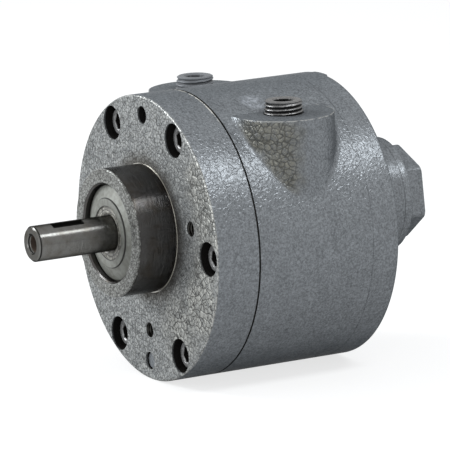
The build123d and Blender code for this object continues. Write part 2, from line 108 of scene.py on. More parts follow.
# Painted shade in grooves and folds
GROOVE_SHADE = 0.2    # colour of a dark groove, as a share of the finish's own
HOLE_ROUGH = 0.65
DIRTY_ROUGH = 0.7


def darker(colour: Colour, share: float) -> Colour:
    """Share of a colour."""
    return tuple(part * share for part in colour)


def grey(level: float) -> tuple[float, float, float, float]:
    """Opaque grey of a level."""
    return level, level, level, 1.0


class Body(Enum):
    """Rigid bodies of the frame that a piece can ride on."""

    HOUSING = "housing"


class Slot(Enum):
    """Material slots of the record that the pieces take their finish from."""

    CAP_PAINT = "cap_paint"
    SCREW = "screw_steel"
    PLUG = "plug_steel"
    SEAL = "seal_metal"
    RUBBER = "rubber"


class Heading(Enum):
    """Direction that a turned piece's local upward axis takes in the frame."""

    FRONT = (0.0, -1.0, 0.0)
    REAR = (0.0, 1.0, 0.0)
    UP = (0.0, 0.0, 1.0)


class Graph:
    """Node tree of one material, with a short method for each kind of node that the finishes use.

    Lengths in the tree are millimetres: `place` is the Object coordinate times a thousand.
    """

    def __init__(self, name: str) -> None:
        """Starts an empty material.

        Args:
            name: The material's name.
        """
        self.material = bpy.data.materials.new(name)
        self.material.use_nodes = True
        self.tree = self.material.node_tree
        self.tree.nodes.clear()
        self.output = self.tree.nodes.new("ShaderNodeOutputMaterial")
        coordinates = self.tree.nodes.new("ShaderNodeTexCoord")
        self.place = self.scaled(coordinates.outputs["Object"], 1 / MM)

    def add(self, kind: str, **settings: object) -> bpy.types.Node:
        """Adds a node and sets its properties.

        Args:
            kind: The node's type name, without its ShaderNode prefix.
            **settings: Properties of the node.

        Returns:
            The new node.
        """
        node = self.tree.nodes.new("ShaderNode" + kind)
        for name, value in settings.items():
            setattr(node, name, value)
        return node

    def put(self, target: Socket, value: Union[Value, Sequence[float]]) -> None:
        """Links a socket into the target, or sets the target's own value.

        Args:
            target: Input socket.
            value: Socket, number or row of numbers.
        """
        if isinstance(value, bpy.types.NodeSocket):
            self.tree.links.new(value, target)
        else:
            target.default_value = value

    def scaled(self, vector: Socket, factor: float) -> Socket:
        """Vector times a number.

        Args:
            vector: The vector.
            factor: The number.

        Returns:
            The longer or shorter vector.
        """
        node = self.add("VectorMath", operation="SCALE")
        self.put(node.inputs[0], vector)
        node.inputs["Scale"].default_value = factor
        return node.outputs[0]

    def math(self, operation: str, a: Value, b: Value = 0.0, c: Value = 0.0) -> Socket:
        """One arithmetic step.

        Args:
            operation: The Math node's operation.
            a: First operand.
            b: Second operand.
            c: Third operand, where the operation has one.

        Returns:
            The result.
        """
        node = self.add("Math", operation=operation)
        for target, value in zip(node.inputs, (a, b, c)):
            self.put(target, value)
        return node.outputs[0]

    def times(self, a: Value, b: Value) -> Socket:
        """Product of two values."""
        return self.math("MULTIPLY", a, b)

    def length(self, a: Socket, b: Socket) -> Socket:
        """Square root of the sum of two squares."""
        return self.math("SQRT", self.math("ADD", self.times(a, a), self.times(b, b)))

    def step(self, value: Value, low: float, high: float) -> Socket:
        """Smooth ramp of a value: 0 at low and 1 at high, where low may be the larger.

        Args:
            value: The value.
            low: Where the ramp is 0.
            high: Where it is 1.

        Returns:
            The ramp, 0 to 1.
        """
        node = self.add("MapRange", interpolation_type="SMOOTHSTEP")
        self.put(node.inputs["Value"], value)
        node.inputs["From Min"].default_value = low
        node.inputs["From Max"].default_value = high
        return node.outputs["Result"]

    def span(self, value: Value, low: float, high: float) -> Socket:
        """Linear map of 0..1 onto low..high.

        Args:
            value: Share, 0 to 1.
            low: Result at 0.
            high: Result at 1.

        Returns:
            The mapped value.
        """
        node = self.add("MapRange")
        self.put(node.inputs["Value"], value)
        node.inputs["To Min"].default_value = low
        node.inputs["To Max"].default_value = high
        return node.outputs["Result"]

    def mix(self, share: Value, a: Union[Socket, Colour], b: Union[Socket, Colour]) -> Socket:
        """Blend of two colours.

        Args:
            share: 0 gives a and 1 gives b.
            a: First colour.
            b: Second colour.

        Returns:
            The blended colour.
        """
        node = self.add("Mix", data_type="RGBA")
        self.put(node.inputs[0], share)
        for index, colour in ((6, a), (7, b)):
            value = colour if isinstance(colour, bpy.types.NodeSocket) else (*colour, 1.0)
            self.put(node.inputs[index], value)
        return node.outputs[2]

    def lerp(self, share: Value, a: Value, b: Value) -> Socket:
        """Blend of two numbers: 0 gives a and 1 gives b.

        Args:
            share: Share of b.
            a: First number.
            b: Second number.

        Returns:
            The blended number.
        """
        node = self.add("Mix", data_type="FLOAT")
        self.put(node.inputs[0], share)
        self.put(node.inputs[2], a)
        self.put(node.inputs[3], b)
        return node.outputs[0]

    def noise(self, size: float, detail: float = 2.0, rough: float = 0.5,
              vector: Optional[Socket] = None, output: str = "Fac") -> Socket:
        """Noise texture whose features are about `size` millimetres across.

        Args:
            size: Size of a feature.
            detail: Number of finer layers.
            rough: Weight of the finer layers.
            vector: Where to look it up, else the place.
            output: The texture's output.

        Returns:
            The noise, 0 to 1.
        """
        node = self.add("TexNoise")
        self.put(node.inputs["Vector"], vector or self.place)
        node.inputs["Scale"].default_value = 1.0 / size
        node.inputs["Detail"].default_value = detail
        node.inputs["Roughness"].default_value = rough
        return node.outputs[output]

    def cells(self, size: float, feature: str, vector: Optional[Socket] = None) -> bpy.types.Node:
        """Voronoi texture whose cells are about `size` millimetres across.

        Args:
            size: Size of a cell.
            feature: What the texture measures.
            vector: Where to look it up, else the place.

        Returns:
            The texture's node.
        """
        node = self.add("TexVoronoi", feature=feature)
        self.put(node.inputs["Vector"], vector or self.place)
        node.inputs["Scale"].default_value = 1.0 / size
        return node

    def parts(self, vector: Optional[Socket] = None) -> tuple[Socket, Socket, Socket]:
        """The X, Y and Z of a vector, or of the place in millimetres.

        Args:
            vector: The vector, else the place.

        Returns:
            The three parts.
        """
        node = self.add("SeparateXYZ")
        self.put(node.inputs[0], vector or self.place)
        return node.outputs[0], node.outputs[1], node.outputs[2]

    def from_axis(self, axis: Heading, centre: Pair) -> Socket:
        """Distance from an axis, in millimetres.

        Args:
            axis: Heading.UP for an upright axis and its twin across the motor, else one along Y.
            centre: The axis's X and Y where it is upright, else its X and Z.

        Returns:
            The distance.
        """
        x, y, z = self.parts()
        sides = (self.math("ABSOLUTE", x), y) if axis is Heading.UP else (x, z)
        return self.length(*(self.math("SUBTRACT", side, off) for side, off in zip(sides, centre)))

    def from_shaft(self) -> Socket:
        """Distance from the shaft's axis, in millimetres."""
        return self.from_axis(Heading.REAR, (0.0, 0.0))

    def jittered(self, amount: float, size: float) -> Socket:
        """The place, shifted by noise of a given size and amount in millimetres.

        Args:
            amount: Largest shift each way.
            size: Size of the noise's features.

        Returns:
            The shifted place.
        """
        noise = self.noise(size, 1.0, output="Color")
        centred = self.add("VectorMath", operation="SUBTRACT")
        self.put(centred.inputs[0], noise)
        centred.inputs[1].default_value = (0.5, 0.5, 0.5)
        moved = self.add("VectorMath", operation="ADD")
        self.put(moved.inputs[0], self.place)
        self.put(moved.inputs[1], self.scaled(centred.outputs[0], 2 * amount))
        return moved.outputs[0]

    def bump(self, height: Socket, relief: float, under: Optional[Socket] = None) -> Socket:
        """Normal from a height of 0..1 that stands for `relief` millimetres.

        Args:
            height: The height.
            relief: Millimetres for a height of 1.
            under: Normal of a bump that lies under this one.

        Returns:
            The normal.
        """
        node = self.add("Bump")
        self.put(node.inputs["Height"], height)
        node.inputs["Distance"].default_value = relief * MM
        if under is not None:
            self.put(node.inputs["Normal"], under)
        return node.outputs["Normal"]

    def surface(self, colour: Socket, metal: Value, rough: Value, normal: Socket,
                gloss: float = 0.5, edge: float = 1.0) -> bpy.types.Material:
        """Puts a Principled shader on the output.

        Args:
            colour: Base colour.
            metal: Metalness.
            rough: Roughness.
            normal: Normal.
            gloss: Strength of a non-metal's reflection.
            edge: Strength of a reflection at a glancing angle.

        Returns:
            The finished material.
        """
        shader = self.add("BsdfPrincipled")
        values = {"Base Color": colour, "Metallic": metal, "Roughness": rough, "Normal": normal,
                  "Specular IOR Level": gloss, "Specular Tint": grey(edge)}
        for name, value in values.items():
            self.put(shader.inputs[name], value)
        self.put(self.output.inputs["Surface"], shader.outputs[0])
        return self.material


@dataclass(frozen=True)
class HoleRing:
    """Holes along Y, evenly spaced on a circle about the housing's centre. Lengths are millimetres.

    Attributes:
        circle: Radius of the circle that the holes stand on.
        hole: Radius within which the mask is full.
        count: Number of holes.
        start: Angle of the first hole, from +X towards +Z, in degrees.
    """

    circle: float
    hole: float
    count: int
    start: float = 0.0

    def distance(self, graph: Graph) -> Socket:
        """Distance from the nearest hole's axis.

        The angle about the housing's centre is wrapped to half a spacing each side of a hole, and
        the law of cosines then gives the distance.

        Args:
            graph: The material's graph.

        Returns:
            The distance, in millimetres.
        """
        x, _, z = graph.parts()
        z = graph.math("ADD", z, OFFSET)
        square = graph.math("ADD", graph.times(x, x), graph.times(z, z))
        radius = graph.math("SQRT", square)
        half = math.pi / self.count
        turn = graph.math("SUBTRACT", graph.math("ARCTAN2", z, x), math.radians(self.start))
        turn = graph.math("WRAP", turn, half, -half)
        cosine = graph.times(graph.math("COSINE", turn), radius)
        cosine = graph.times(cosine, -2 * self.circle)
        total = graph.math("ADD", graph.math("ADD", square, self.circle ** 2), cosine)
        return graph.math("SQRT", graph.math("MAXIMUM", total, 0.0))

    def mask(self, graph: Graph) -> Socket:
        """1 inside the holes and 0 outside."""
        return graph.step(self.distance(graph), self.hole + 0.12, self.hole + 0.02)


@dataclass(frozen=True)
class Patch:
    """Round place where the paint is thick or carries painted highlight streaks. Lengths are
    millimetres.

    Attributes:
        centre: Middle of the patch.
        radius: Distance at which it has faded out.
        core: Share of the radius at which it begins to fade.
        ragged: How far its edge wanders, and the size of the noise that moves it.
    """

    centre: Point
    radius: float
    core: float = 0.5
    ragged: Pair = (4.0, 7.0)

    def mask(self, graph: Graph) -> Socket:
        """1 in the middle of the patch and 0 outside it, with a ragged edge.

        Args:
            graph: The material's graph.

        Returns:
            The mask.
        """
        node = graph.add("VectorMath", operation="DISTANCE")
        graph.put(node.inputs[0], graph.jittered(*self.ragged))
        node.inputs[1].default_value = self.centre
        return graph.step(node.outputs["Value"], self.radius, self.radius * self.core)


@dataclass(frozen=True)
class BossFlank:
    """Upright side of a round boss and of its twin. Lengths are millimetres.

    Attributes:
        centre: X and Y of the boss's axis.
        radius: Radius of the flank.
        top: Height of the pad above it.
    """

    centre: Pair
    radius: float
    top: float

    def mask(self, graph: Graph) -> Socket:
        """1 on the flank and 0 on the casting round it and on its pad.

        Args:
            graph: The material's graph.

        Returns:
            The mask.
        """
        _, _, z = graph.parts()
        out = graph.step(graph.from_axis(Heading.UP, self.centre), self.radius + 1.8, self.radius + 0.3)
        return graph.times(out, graph.step(z, self.top - 0.1, self.top - 0.9))


@dataclass(frozen=True)
class RimHighlight:
    """Circular edge with a painted highlight along it. Lengths are millimetres.

    Attributes:
        radius: Radius of the edge.
        level: Its place along its axis.
        strength: Lightness of the line, 0 to 1.
        width: Widest half-width of the line.
        above: Height from which the line shows, where it doesn't go all the way round.
        axis: Direction of its axis.
        centre: Place of the axis, as in `Graph.from_axis`.
    """

    radius: float
    level: float
    strength: float = 0.6
    width: float = 0.55
    above: Optional[float] = None
    axis: Heading = Heading.REAR
    centre: Pair = (0.0, -OFFSET)

    def mask(self, graph: Graph) -> Socket:
        """Share of the painted highlight: the distance from the edge, less a wandering width.

        Args:
            graph: The material's graph.

        Returns:
            The share.
        """
        _, y, z = graph.parts()
        out = graph.math("SUBTRACT", graph.from_axis(self.axis, self.centre), self.radius)
        off = graph.math("SUBTRACT", z if self.axis is Heading.UP else y, self.level)
        wander = graph.step(graph.noise(4.0, 3.0, 0.6), 0.38, 0.62)
        edge = graph.math("MULTIPLY_ADD", wander, -self.width, graph.length(out, off))
        line = graph.times(graph.step(edge, 0.08, -0.12), self.strength)
        if self.above is None:
            return line
        return graph.times(line, graph.step(z, self.above, self.above + 8.0))


@dataclass(frozen=True)
class Seam:
    """Dark joint round the housing. Lengths are millimetres.

    Attributes:
        level: Y of the joint's middle.
        half: Half of its width.
        dark: Its darkness, 0 to 1.
    """

    level: float
    half: float
    dark: float

    def mask(self, graph: Graph) -> Socket:
        """Share of the dark joint, whose edge wanders a little.

        Args:
            graph: The material's graph.

        Returns:
            The share.
        """
        _, y, _ = graph.parts(graph.jittered(0.12, 3.0))
        off = graph.math("ABSOLUTE", graph.math("SUBTRACT", y, self.level))
        return graph.times(graph.step(off, self.half + 0.1, self.half - 0.05), self.dark)


@dataclass(frozen=True)
class PaintGrain:
    """Cells that the paint drew itself into as it dried.

    Attributes:
        size: Size of a cell, in millimetres.
        line: Half-width of the crevice round a cell, as a share of its size.
        depth: Darkness of the crevice, partly painted shade, 0 to 1.
        spread: Difference between light and dark cells, 0 to 1.
        relief: Height of a cell's middle over its crevice, in millimetres.
        wobble: How far the crevices wander, as a share of the size.
    """

    size: float
    line: float
    depth: float
    spread: float
    relief: float
    wobble: float = 0.3

    def layers(self, graph: Graph) -> tuple[Socket, Socket, Socket]:
        """Crevice, shade and height of the cells.

        The distance to the nearest crevice gives the crevice and the height, and each cell's own
        random number gives its shade.

        Args:
            graph: The material's graph.

        Returns:
            Share of crevice, share of shade, and height in millimetres.
        """
        spot = graph.jittered(self.wobble * self.size, self.size)
        edge = graph.cells(self.size, "DISTANCE_TO_EDGE", spot).outputs["Distance"]
        chance, _, _ = graph.parts(graph.cells(self.size, "F1", spot).outputs["Color"])
        crevice = graph.times(graph.step(edge, self.line, 0.0), self.depth)
        shade = graph.times(chance, self.spread)
        height = graph.times(graph.step(edge, 0.0, 0.35), self.relief)
        return crevice, shade, height


@dataclass(frozen=True)
class HammeredPaint:
    """Silver-grey hammer paint: light flake cells between dark veins, deepened by painted shade.

    Attributes:
        name: The material's name.
        flake: Colour of the cells.
        lit_face_flake: A lighter copy of their colour on the flat face, as painted light.
        thick_flake: Colour of the cells where the paint is thick.
        common: Cells of the common surface.
        face: Cells of the flat face, where it has its own.
        face_y: Y at which the face begins and is fully the face, in millimetres.
        face_crinkle: Height of its wrinkles, as a share of the common surface's.
        thick: Cells where the paint is thick.
        patches: Places with thick paint.
        flank: Boss that the thick paint keeps to, if any.
        bare_shaded_holes: Holes whose walls are left unpainted and colored near black as painted shade.
        bare_shade_from: Y at which a hole's wall begins to be unpainted and shaded, and where it fully
            is, in millimetres.
        edge_highlights: Edges with a painted highlight along them.
        seams: Dark joints.
        hub_shade: Distance from the shaft's axis at which the painted shade round the hub begins to
            fade and is gone.
        crinkle: Height of the wrinkles in the paint's skin, in millimetres.
        highlight_streaks: Places where light streaks are painted on the wrinkles, as painted highlight.
        fold: Size of a wrinkle, in millimetres.
        skin: Size and height of the finest grain, in millimetres.
        cloud: Size of the clouds in its shade, in millimetres.
        speck: Size of the specks in its shade, in millimetres.
        metal: Metalness outside the crevices.
        rough: Roughness from the smoothest to the dullest place.
    """

    name: str
    flake: Colour = (0.286, 0.304, 0.322)
    lit_face_flake: Colour = (0.5, 0.51, 0.5)
    thick_flake: Colour = (0.235, 0.228, 0.192)
    common: PaintGrain = PaintGrain(1.9, 0.13, 0.2, 0.2, 0.02)
    face: Optional[PaintGrain] = None
    face_y: Pair = (1.0, 0.2)
    face_crinkle: float = 0.5
    thick: PaintGrain = PaintGrain(3.1, 0.14, 0.6, 0.3, 0.17, 0.3)
    patches: tuple[Patch, ...] = ()
    flank: Optional[BossFlank] = None
    bare_shaded_holes: tuple[HoleRing, ...] = ()
    bare_shade_from: Pair = (0.25, 1.0)
    edge_highlights: tuple[RimHighlight, ...] = ()
    seams: tuple[Seam, ...] = ()
    hub_shade: Optional[Pair] = None
    crinkle: float = 0.11
    highlight_streaks: tuple[Patch, ...] = ()
    fold: float = 3.3
    skin: Pair = (0.9, 0.01)
    cloud: float = 11.0
    speck: float = 1.1
    metal: float = 0.5
    rough: Pair = (0.25, 0.37)

    def material(self) -> bpy.types.Material:
        """Builds the material.

        Returns:
            The finished material.
        """
        graph = Graph(self.name)
        thick = self._thick(graph)
        flat: Value = 0.0
        layers = self.common.layers(graph)
        if self.face:
            _, y, _ = graph.parts()
            flat = graph.step(y, *self.face_y)
            thick = graph.times(thick, flat)
            layers = self._blend(graph, flat, layers, self.face.layers(graph))
        if self.patches:
            layers = self._blend(graph, thick, layers, self.thick.layers(graph))
        crevice, shade, height = layers
        wave = graph.noise(self.fold, 1.0, 0.5, graph.jittered(0.8, 2.2))
        fold = graph.math("ABSOLUTE", graph.math("MULTIPLY_ADD", wave, 8.0, -4.0))
        ridge = graph.step(fold, 1.0, 0.0)
        crinkle = graph.lerp(flat, self.crinkle, self.face_crinkle * self.crinkle)
        height = graph.math("MULTIPLY_ADD", ridge, crinkle, height)
        fine, lift = self.skin
        height = graph.math("MULTIPLY_ADD", graph.noise(fine, 2.0, 0.6), lift, height)
        normal = graph.bump(height, 1.0)
        # On the flat face the flake is a lighter copy, as painted light
        flake = graph.mix(flat, self.flake, self.lit_face_flake)
        flake = graph.mix(thick, flake, self.thick_flake)
        colour, metal, rough = self._skin(graph, flake, crevice, shade)
        return graph.surface(colour, metal, rough, normal, gloss=0.0, edge=0.2)

    def _thick(self, graph: Graph) -> Value:
        """Where the paint is thick: the largest of the patches' masks.

        Args:
            graph: The material's graph.

        Returns:
            The share.
        """
        share: Value = 0.0
        for patch in self.patches:
            share = graph.math("MAXIMUM", share, patch.mask(graph))
        return graph.times(share, self.flank.mask(graph)) if self.flank else share

    @staticmethod
    def _blend(graph: Graph, share: Value, first: Sequence[Socket],
               second: Sequence[Socket]) -> tuple[Socket, ...]:
        """Blend of two grains' layers: 0 gives the first and 1 the second.

        Args:
            graph: The material's graph.
            share: Share of the second.
            first: Layers of one grain.
            second: Layers of the other.

        Returns:
            The blended layers.
        """
        return tuple(graph.lerp(share, a, b) for a, b in zip(first, second))

    def _skin(self, graph: Graph, flake: Socket, crevice: Socket,
              shade: Socket) -> tuple[Socket, Socket, Socket]:
        """Colour, metalness and roughness of the paint, and of the unpainted holes with their painted
        shade.

        Args:
            graph: The material's graph.
            flake: Colour of a light cell.
            crevice: Share of a crevice.
            shade: Share of a cell's shade.

        Returns:
            The colour, the metalness and the roughness.
        """
        tone = graph.noise(self.cloud, 3.0)
        speck = graph.noise(self.speck, 2.0, 0.7)
        dull = graph.math("MULTIPLY_ADD", tone, 0.3, shade)
        dull = graph.math("MULTIPLY_ADD", graph.step(speck, 0.4, 0.64), 0.45, dull)
        colour = graph.mix(dull, flake, darker(self.flake, DARK_CELL))
        # The crevices take a dark colour: the paint's own veins plus painted shade
        colour = graph.mix(crevice, colour, CREVICE_VEIN_AND_SHADE)
        # Painted shade round the hub's foot, fading outwards
        if self.hub_shade:
            near = graph.step(graph.from_shaft(), self.hub_shade[1], self.hub_shade[0])
            colour = graph.mix(graph.times(near, graph.span(tone, 0.4, 1.0)), colour, HUB_SHADE)
        rough = graph.span(graph.noise(2.2, 2.0), *self.rough)
        metal = graph.lerp(crevice, self.metal, 0.0)
        for rim in self.edge_highlights:
            # Painted highlight along each edge
            colour = graph.mix(rim.mask(graph), colour, EDGE_HIGHLIGHT)
        # Painted highlight streaks on the wrinkles
        for streak_patch in self.highlight_streaks:
            streak = graph.step(graph.noise(2.0, 2.0, 0.6), 0.42, 0.62)
            share = graph.times(streak_patch.mask(graph), graph.span(streak, 0.1, 0.65))
            colour = graph.mix(share, colour, STREAK_HIGHLIGHT)
        for seam in self.seams:
            colour = graph.mix(seam.mask(graph), colour, OPEN_JOINT)
        # Painted shade in the holes, which are also left unpainted
        for ring in self.bare_shaded_holes:
            _, y, _ = graph.parts()
            inside = graph.times(ring.mask(graph), graph.step(y, *self.bare_shade_from))
            colour = graph.mix(inside, colour, HOLE_SHADE)
            metal = graph.lerp(inside, metal, 0.0)
            rough = graph.lerp(inside, rough, HOLE_ROUGH)
        return colour, metal, rough


@dataclass(frozen=True)
class TurnedMetal:
    """Bare metal with fine marks of the tool round the Y axis.

    Attributes:
        name: The material's name.
        bright: Colour of the clean metal.
        stain: Colour of the oil or rust in its hollows.
        stain_size: Size of the stains, in millimetres.
        stain_share: How much of the surface they cover, 0 to 1.
        rough: Roughness from the cleanest to the dullest place.
        mark: Spacing of the tool's marks, in millimetres.
        relief: Depth of the marks.
    """

    name: str
    bright: Colour
    stain: Colour
    stain_size: float = 6.0
    stain_share: float = 0.5
    rough: Pair = (0.22, 0.4)
    mark: float = 0.3
    relief: float = 0.03

    def tool_marks(self, graph: Graph) -> Socket:
        """Height of the tool's marks: noise that changes along Y and hardly round it.

        Args:
            graph: The material's graph.

        Returns:
            The height, 0 to 1.
        """
        squeeze = graph.add("Mapping")
        graph.put(squeeze.inputs["Vector"], graph.place)
        squeeze.inputs["Scale"].default_value = (0.02, 1.0, 0.02)
        return graph.noise(self.mark, 3.0, 0.7, squeeze.outputs["Vector"])

    def base(self, graph: Graph) -> tuple[Socket, Socket, Socket]:
        """Colour, roughness and normal of the plain turned surface.

        Args:
            graph: The material's graph.

        Returns:
            The colour, the roughness and the normal.
        """
        marks = self.tool_marks(graph)
        stain = graph.noise(self.stain_size, 4.0, 0.6)
        share = graph.times(graph.step(stain, 0.4, 0.75), self.stain_share)
        colour = graph.mix(share, self.bright, self.stain)
        rough = graph.span(graph.math("MULTIPLY_ADD", marks, 0.4, share), *self.rough)
        return colour, rough, graph.bump(marks, self.relief)

    def material(self) -> bpy.types.Material:
        """Builds the material.

        Returns:
            The finished material.
        """
        graph = Graph(self.name)
        colour, rough, normal = self.base(graph)
        return graph.surface(colour, 1.0, rough, normal)


@dataclass(frozen=True)
class HubMetal(TurnedMetal):
    """Dark turned metal of the hub, with hammer paint on its front face and a painted highlight along
    its foot.

    Attributes:
        paint_y: Y of the face that is painted, in millimetres.
        paint: Colour of the paint's cells.
        grain: Cells of the paint.
        foot: Radius and Y from which the foot's edge carries a painted highlight, in millimetres.
        mouth: Radius of the hub's mouth, inside which there's no paint.
    """

    paint_y: float = -22.1
    paint: Colour = (0.31, 0.315, 0.302)
    grain: PaintGrain = PaintGrain(1.8, 0.17, 0.85, 0.6, 0.1)
    foot: Pair = (33.9, -0.3)
    mouth: float = 26.9

    def material(self) -> bpy.types.Material:
        """Builds the material.

        Returns:
            The finished material.
        """
        graph = Graph(self.name)
        colour, rough, normal = self.base(graph)
        _, y, _ = graph.parts()
        radius, back = self.foot
        out = graph.from_shaft()
        foot = graph.times(graph.step(out, radius, radius + 0.2), graph.step(y, back - 0.1, back + 0.1))
        # Painted highlight along the foot's edge
        colour = graph.mix(foot, colour, FOOT_HIGHLIGHT)
        _, y, _ = graph.parts(graph.jittered(1.1, 1.6))
        painted = graph.times(graph.step(y, self.paint_y + 0.35, self.paint_y - 0.1),
                              graph.step(out, self.mouth - 0.2, self.mouth + 0.1))
        crevice, shade, height = self.grain.layers(graph)
        paint = graph.mix(shade, self.paint, darker(self.paint, DARK_CELL))
        # Painted shade in the crevices of the hub's paint
        paint = graph.mix(crevice, paint, CREVICE_VEIN_AND_SHADE)
        colour = graph.mix(painted, colour, paint)
        metal = graph.lerp(painted, 0.96, 0.5)
        rough = graph.lerp(painted, rough, 0.3)
        normal = graph.bump(graph.times(height, painted), 1.0, normal)
        return graph.surface(colour, metal, rough, normal, gloss=0.1, edge=0.5)


@dataclass(frozen=True)
class ShaftMetal(TurnedMetal):
    """Ground metal of the shaft, with painted shade in its keyway and along its end's chamfer, and
    rusty in its centre hole.

    Attributes:
        key_angle: Angle of the keyway's middle, from +X towards +Z, in degrees.
        key_half: Half of the keyway's width, in millimetres.
        key_ends: Y of the keyway's ends.
        key_top: Distance from the shaft's axis below which the keyway's walls and floor lie.
        end: Y at which the chamfer of the shaft's end stops.
        hole: Radius of the centre hole's mouth.
        hole_depth: How far into the hole it is rusty.
    """

    key_angle: float = 71.5
    key_half: float = 2.5
    key_ends: Pair = (-57.5, -38.8)
    key_top: float = 9.1
    end: float = -67.0
    hole: float = 4.7
    hole_depth: float = 12.0

    def material(self) -> bpy.types.Material:
        """Builds the material.

        Returns:
            The finished material.
        """
        graph = Graph(self.name)
        colour, rough, normal = self.base(graph)
        x, y, z = graph.parts()
        cosine, sine = math.cos(math.radians(self.key_angle)), math.sin(math.radians(self.key_angle))
        deep = graph.math("MULTIPLY_ADD", x, cosine, graph.times(z, sine))
        aside = graph.math("MULTIPLY_ADD", x, -sine, graph.times(z, cosine))
        middle, half = sum(self.key_ends) / 2, (self.key_ends[1] - self.key_ends[0]) / 2
        inside = graph.math("LESS_THAN", graph.math("ABSOLUTE", aside), self.key_half)
        for value, limit in ((graph.math("ABSOLUTE", graph.math("SUBTRACT", y, middle)), half),
                             (deep, self.key_top), (graph.times(deep, -1.0), 0.0)):
            inside = graph.times(inside, graph.math("LESS_THAN", value, limit))
        # Painted shade in the keyway
        colour = graph.mix(inside, colour, KEYWAY_SHADE)
        rust = graph.times(graph.step(graph.from_shaft(), self.hole, self.hole - 0.3),
                           graph.math("LESS_THAN", y, self.end + self.hole_depth))
        colour = graph.mix(rust, colour, RUST)
        # Painted shade along the edge of the end's chamfer
        line = graph.math("ABSOLUTE", graph.math("SUBTRACT", y, self.end))
        line = graph.times(graph.step(line, 0.45, 0.25), 0.9)
        colour = graph.mix(line, colour, CHAMFER_SHADE)
        dull = graph.math("MAXIMUM", inside, graph.math("MAXIMUM", rust, line))
        return graph.surface(colour, graph.lerp(dull, 1.0, 0.0), graph.lerp(dull, rough, DIRTY_ROUGH),
                             normal, gloss=0.1, edge=0.25)


@dataclass(frozen=True)
class PlugMetal(TurnedMetal):
    """Dark steel of the port plugs, with painted shade in the roots of the thread and in the socket.

    Attributes:
        centre: X and Y of a plug's axis, in millimetres.
        crest: Radius of the thread at the pad and at the plug's top.
        levels: Z of the pad and of the plug's top.
        socket: Radius of the socket's corners.
        overspray: Colour of the paint's dust on the far plug.
    """

    centre: Pair = PORT_CENTRE
    crest: Pair = PLUG_CREST
    levels: Pair = (PAD_Z, PAD_Z + PLUG_STAND)
    socket: float = 5.45
    overspray: Colour = (0.175, 0.183, 0.194)

    def material(self) -> bpy.types.Material:
        """Builds the material.

        Returns:
            The finished material.
        """
        graph = Graph(self.name)
        colour, rough, normal = self.base(graph)
        x, _, z = graph.parts()
        out = graph.from_axis(Heading.UP, self.centre)
        foot, top = self.levels
        taper = (self.crest[1] - self.crest[0]) / (top - foot)
        crest = graph.math("MULTIPLY_ADD", z, taper, self.crest[0] - taper * foot)
        under = graph.math("SUBTRACT", crest, out)
        root = graph.times(graph.step(under, 0.25, 0.75), graph.step(z, top - 0.9, top - 1.3))
        hollow = graph.times(graph.step(out, self.socket + 0.1, self.socket - 0.1),
                             graph.step(z, top - 0.4, top - 0.8))
        far = graph.step(x, 1.0, -1.0)
        colour = graph.mix(graph.times(far, 0.95), colour, self.overspray)
        # Painted shade in the thread's roots and the socket, weaker on the far plug
        dark = graph.times(graph.math("MAXIMUM", root, hollow), graph.lerp(far, 1.0, 0.4))
        colour = graph.mix(dark, colour, THREAD_SHADE)
        dull = graph.math("MAXIMUM", dark, graph.times(far, 0.6))
        return graph.surface(colour, graph.lerp(dull, 1.0, 0.0), graph.lerp(dull, rough, DIRTY_ROUGH),
                             normal, gloss=0.1, edge=0.6)


@dataclass(frozen=True)
class PlainFinish:
    """Even material with a little mottling and grain.

    Attributes:
        name: The material's name.
        light: Lighter colour of the mottling.
        dark: Darker colour of the mottling.
        metal: Metalness.
        rough: Roughness from the smoothest to the dullest place.
        mottle: Size of the mottling, in millimetres.
        grain: Size of the grain, in millimetres.
        relief: Depth of the grain.
        shaded_grooves: Radius and half-width of grooves round the shaft's axis that get painted shade,
            in millimetres.
    """

    name: str
    light: Colour
    dark: Colour
    metal: float = 0.0
    rough: Pair = (0.4, 0.6)
    mottle: float = 5.0
    grain: float = 0.6
    relief: float = 0.02
    shaded_grooves: tuple[Pair, ...] = ()

    def material(self) -> bpy.types.Material:
        """Builds the material.

        Returns:
            The finished material.
        """
        graph = Graph(self.name)
        mottle = graph.noise(self.mottle, 3.0)
        grain = graph.noise(self.grain, 3.0, 0.6)
        colour = graph.mix(graph.step(mottle, 0.3, 0.7), self.light, self.dark)
        # Painted shade in each groove
        for radius, half in self.shaded_grooves:
            out = graph.math("SUBTRACT", graph.from_shaft(), radius)
            near = graph.step(graph.math("ABSOLUTE", out), half, 0.3 * half)
            colour = graph.mix(near, colour, darker(self.dark, GROOVE_SHADE))
        rough = graph.span(grain, *self.rough)
        return graph.surface(colour, self.metal, rough, graph.bump(grain, self.relief))


@dataclass(frozen=True)
class Placement:
    """Local frame of a turned piece.

    Attributes:
        foot: Point that local height 0 stands at, in metres.
        heading: Direction of the local upward axis.
    """

    foot: Point
    heading: Heading

    def points(self, radius: np.ndarray, height: np.ndarray) -> np.ndarray:
        """Carries a turned surface into the frame.

        A column's angle runs evenly round the axis, anticlockwise as seen from the heading, and a
        point is the foot plus radius times (cosine, sine) across the axis plus height along it.

        Args:
            radius: Radii in millimetres, rows by columns.
            height: Heights in millimetres, rows by columns or rows by one.

        Returns:
            Points in metres, rows by columns by three.
        """
        up = np.array(self.heading.value)
        across = np.array([1.0, 0.0, 0.0])
        beside = np.cross(up, across)
        angle = np.linspace(0, 2 * math.pi, radius.shape[1], endpoint=False)
        flat = np.cos(angle)[:, None] * across + np.sin(angle)[:, None] * beside
        local = radius[..., None] * flat + np.broadcast_to(height, radius.shape)[..., None] * up
        return np.array(self.foot) + local * MM


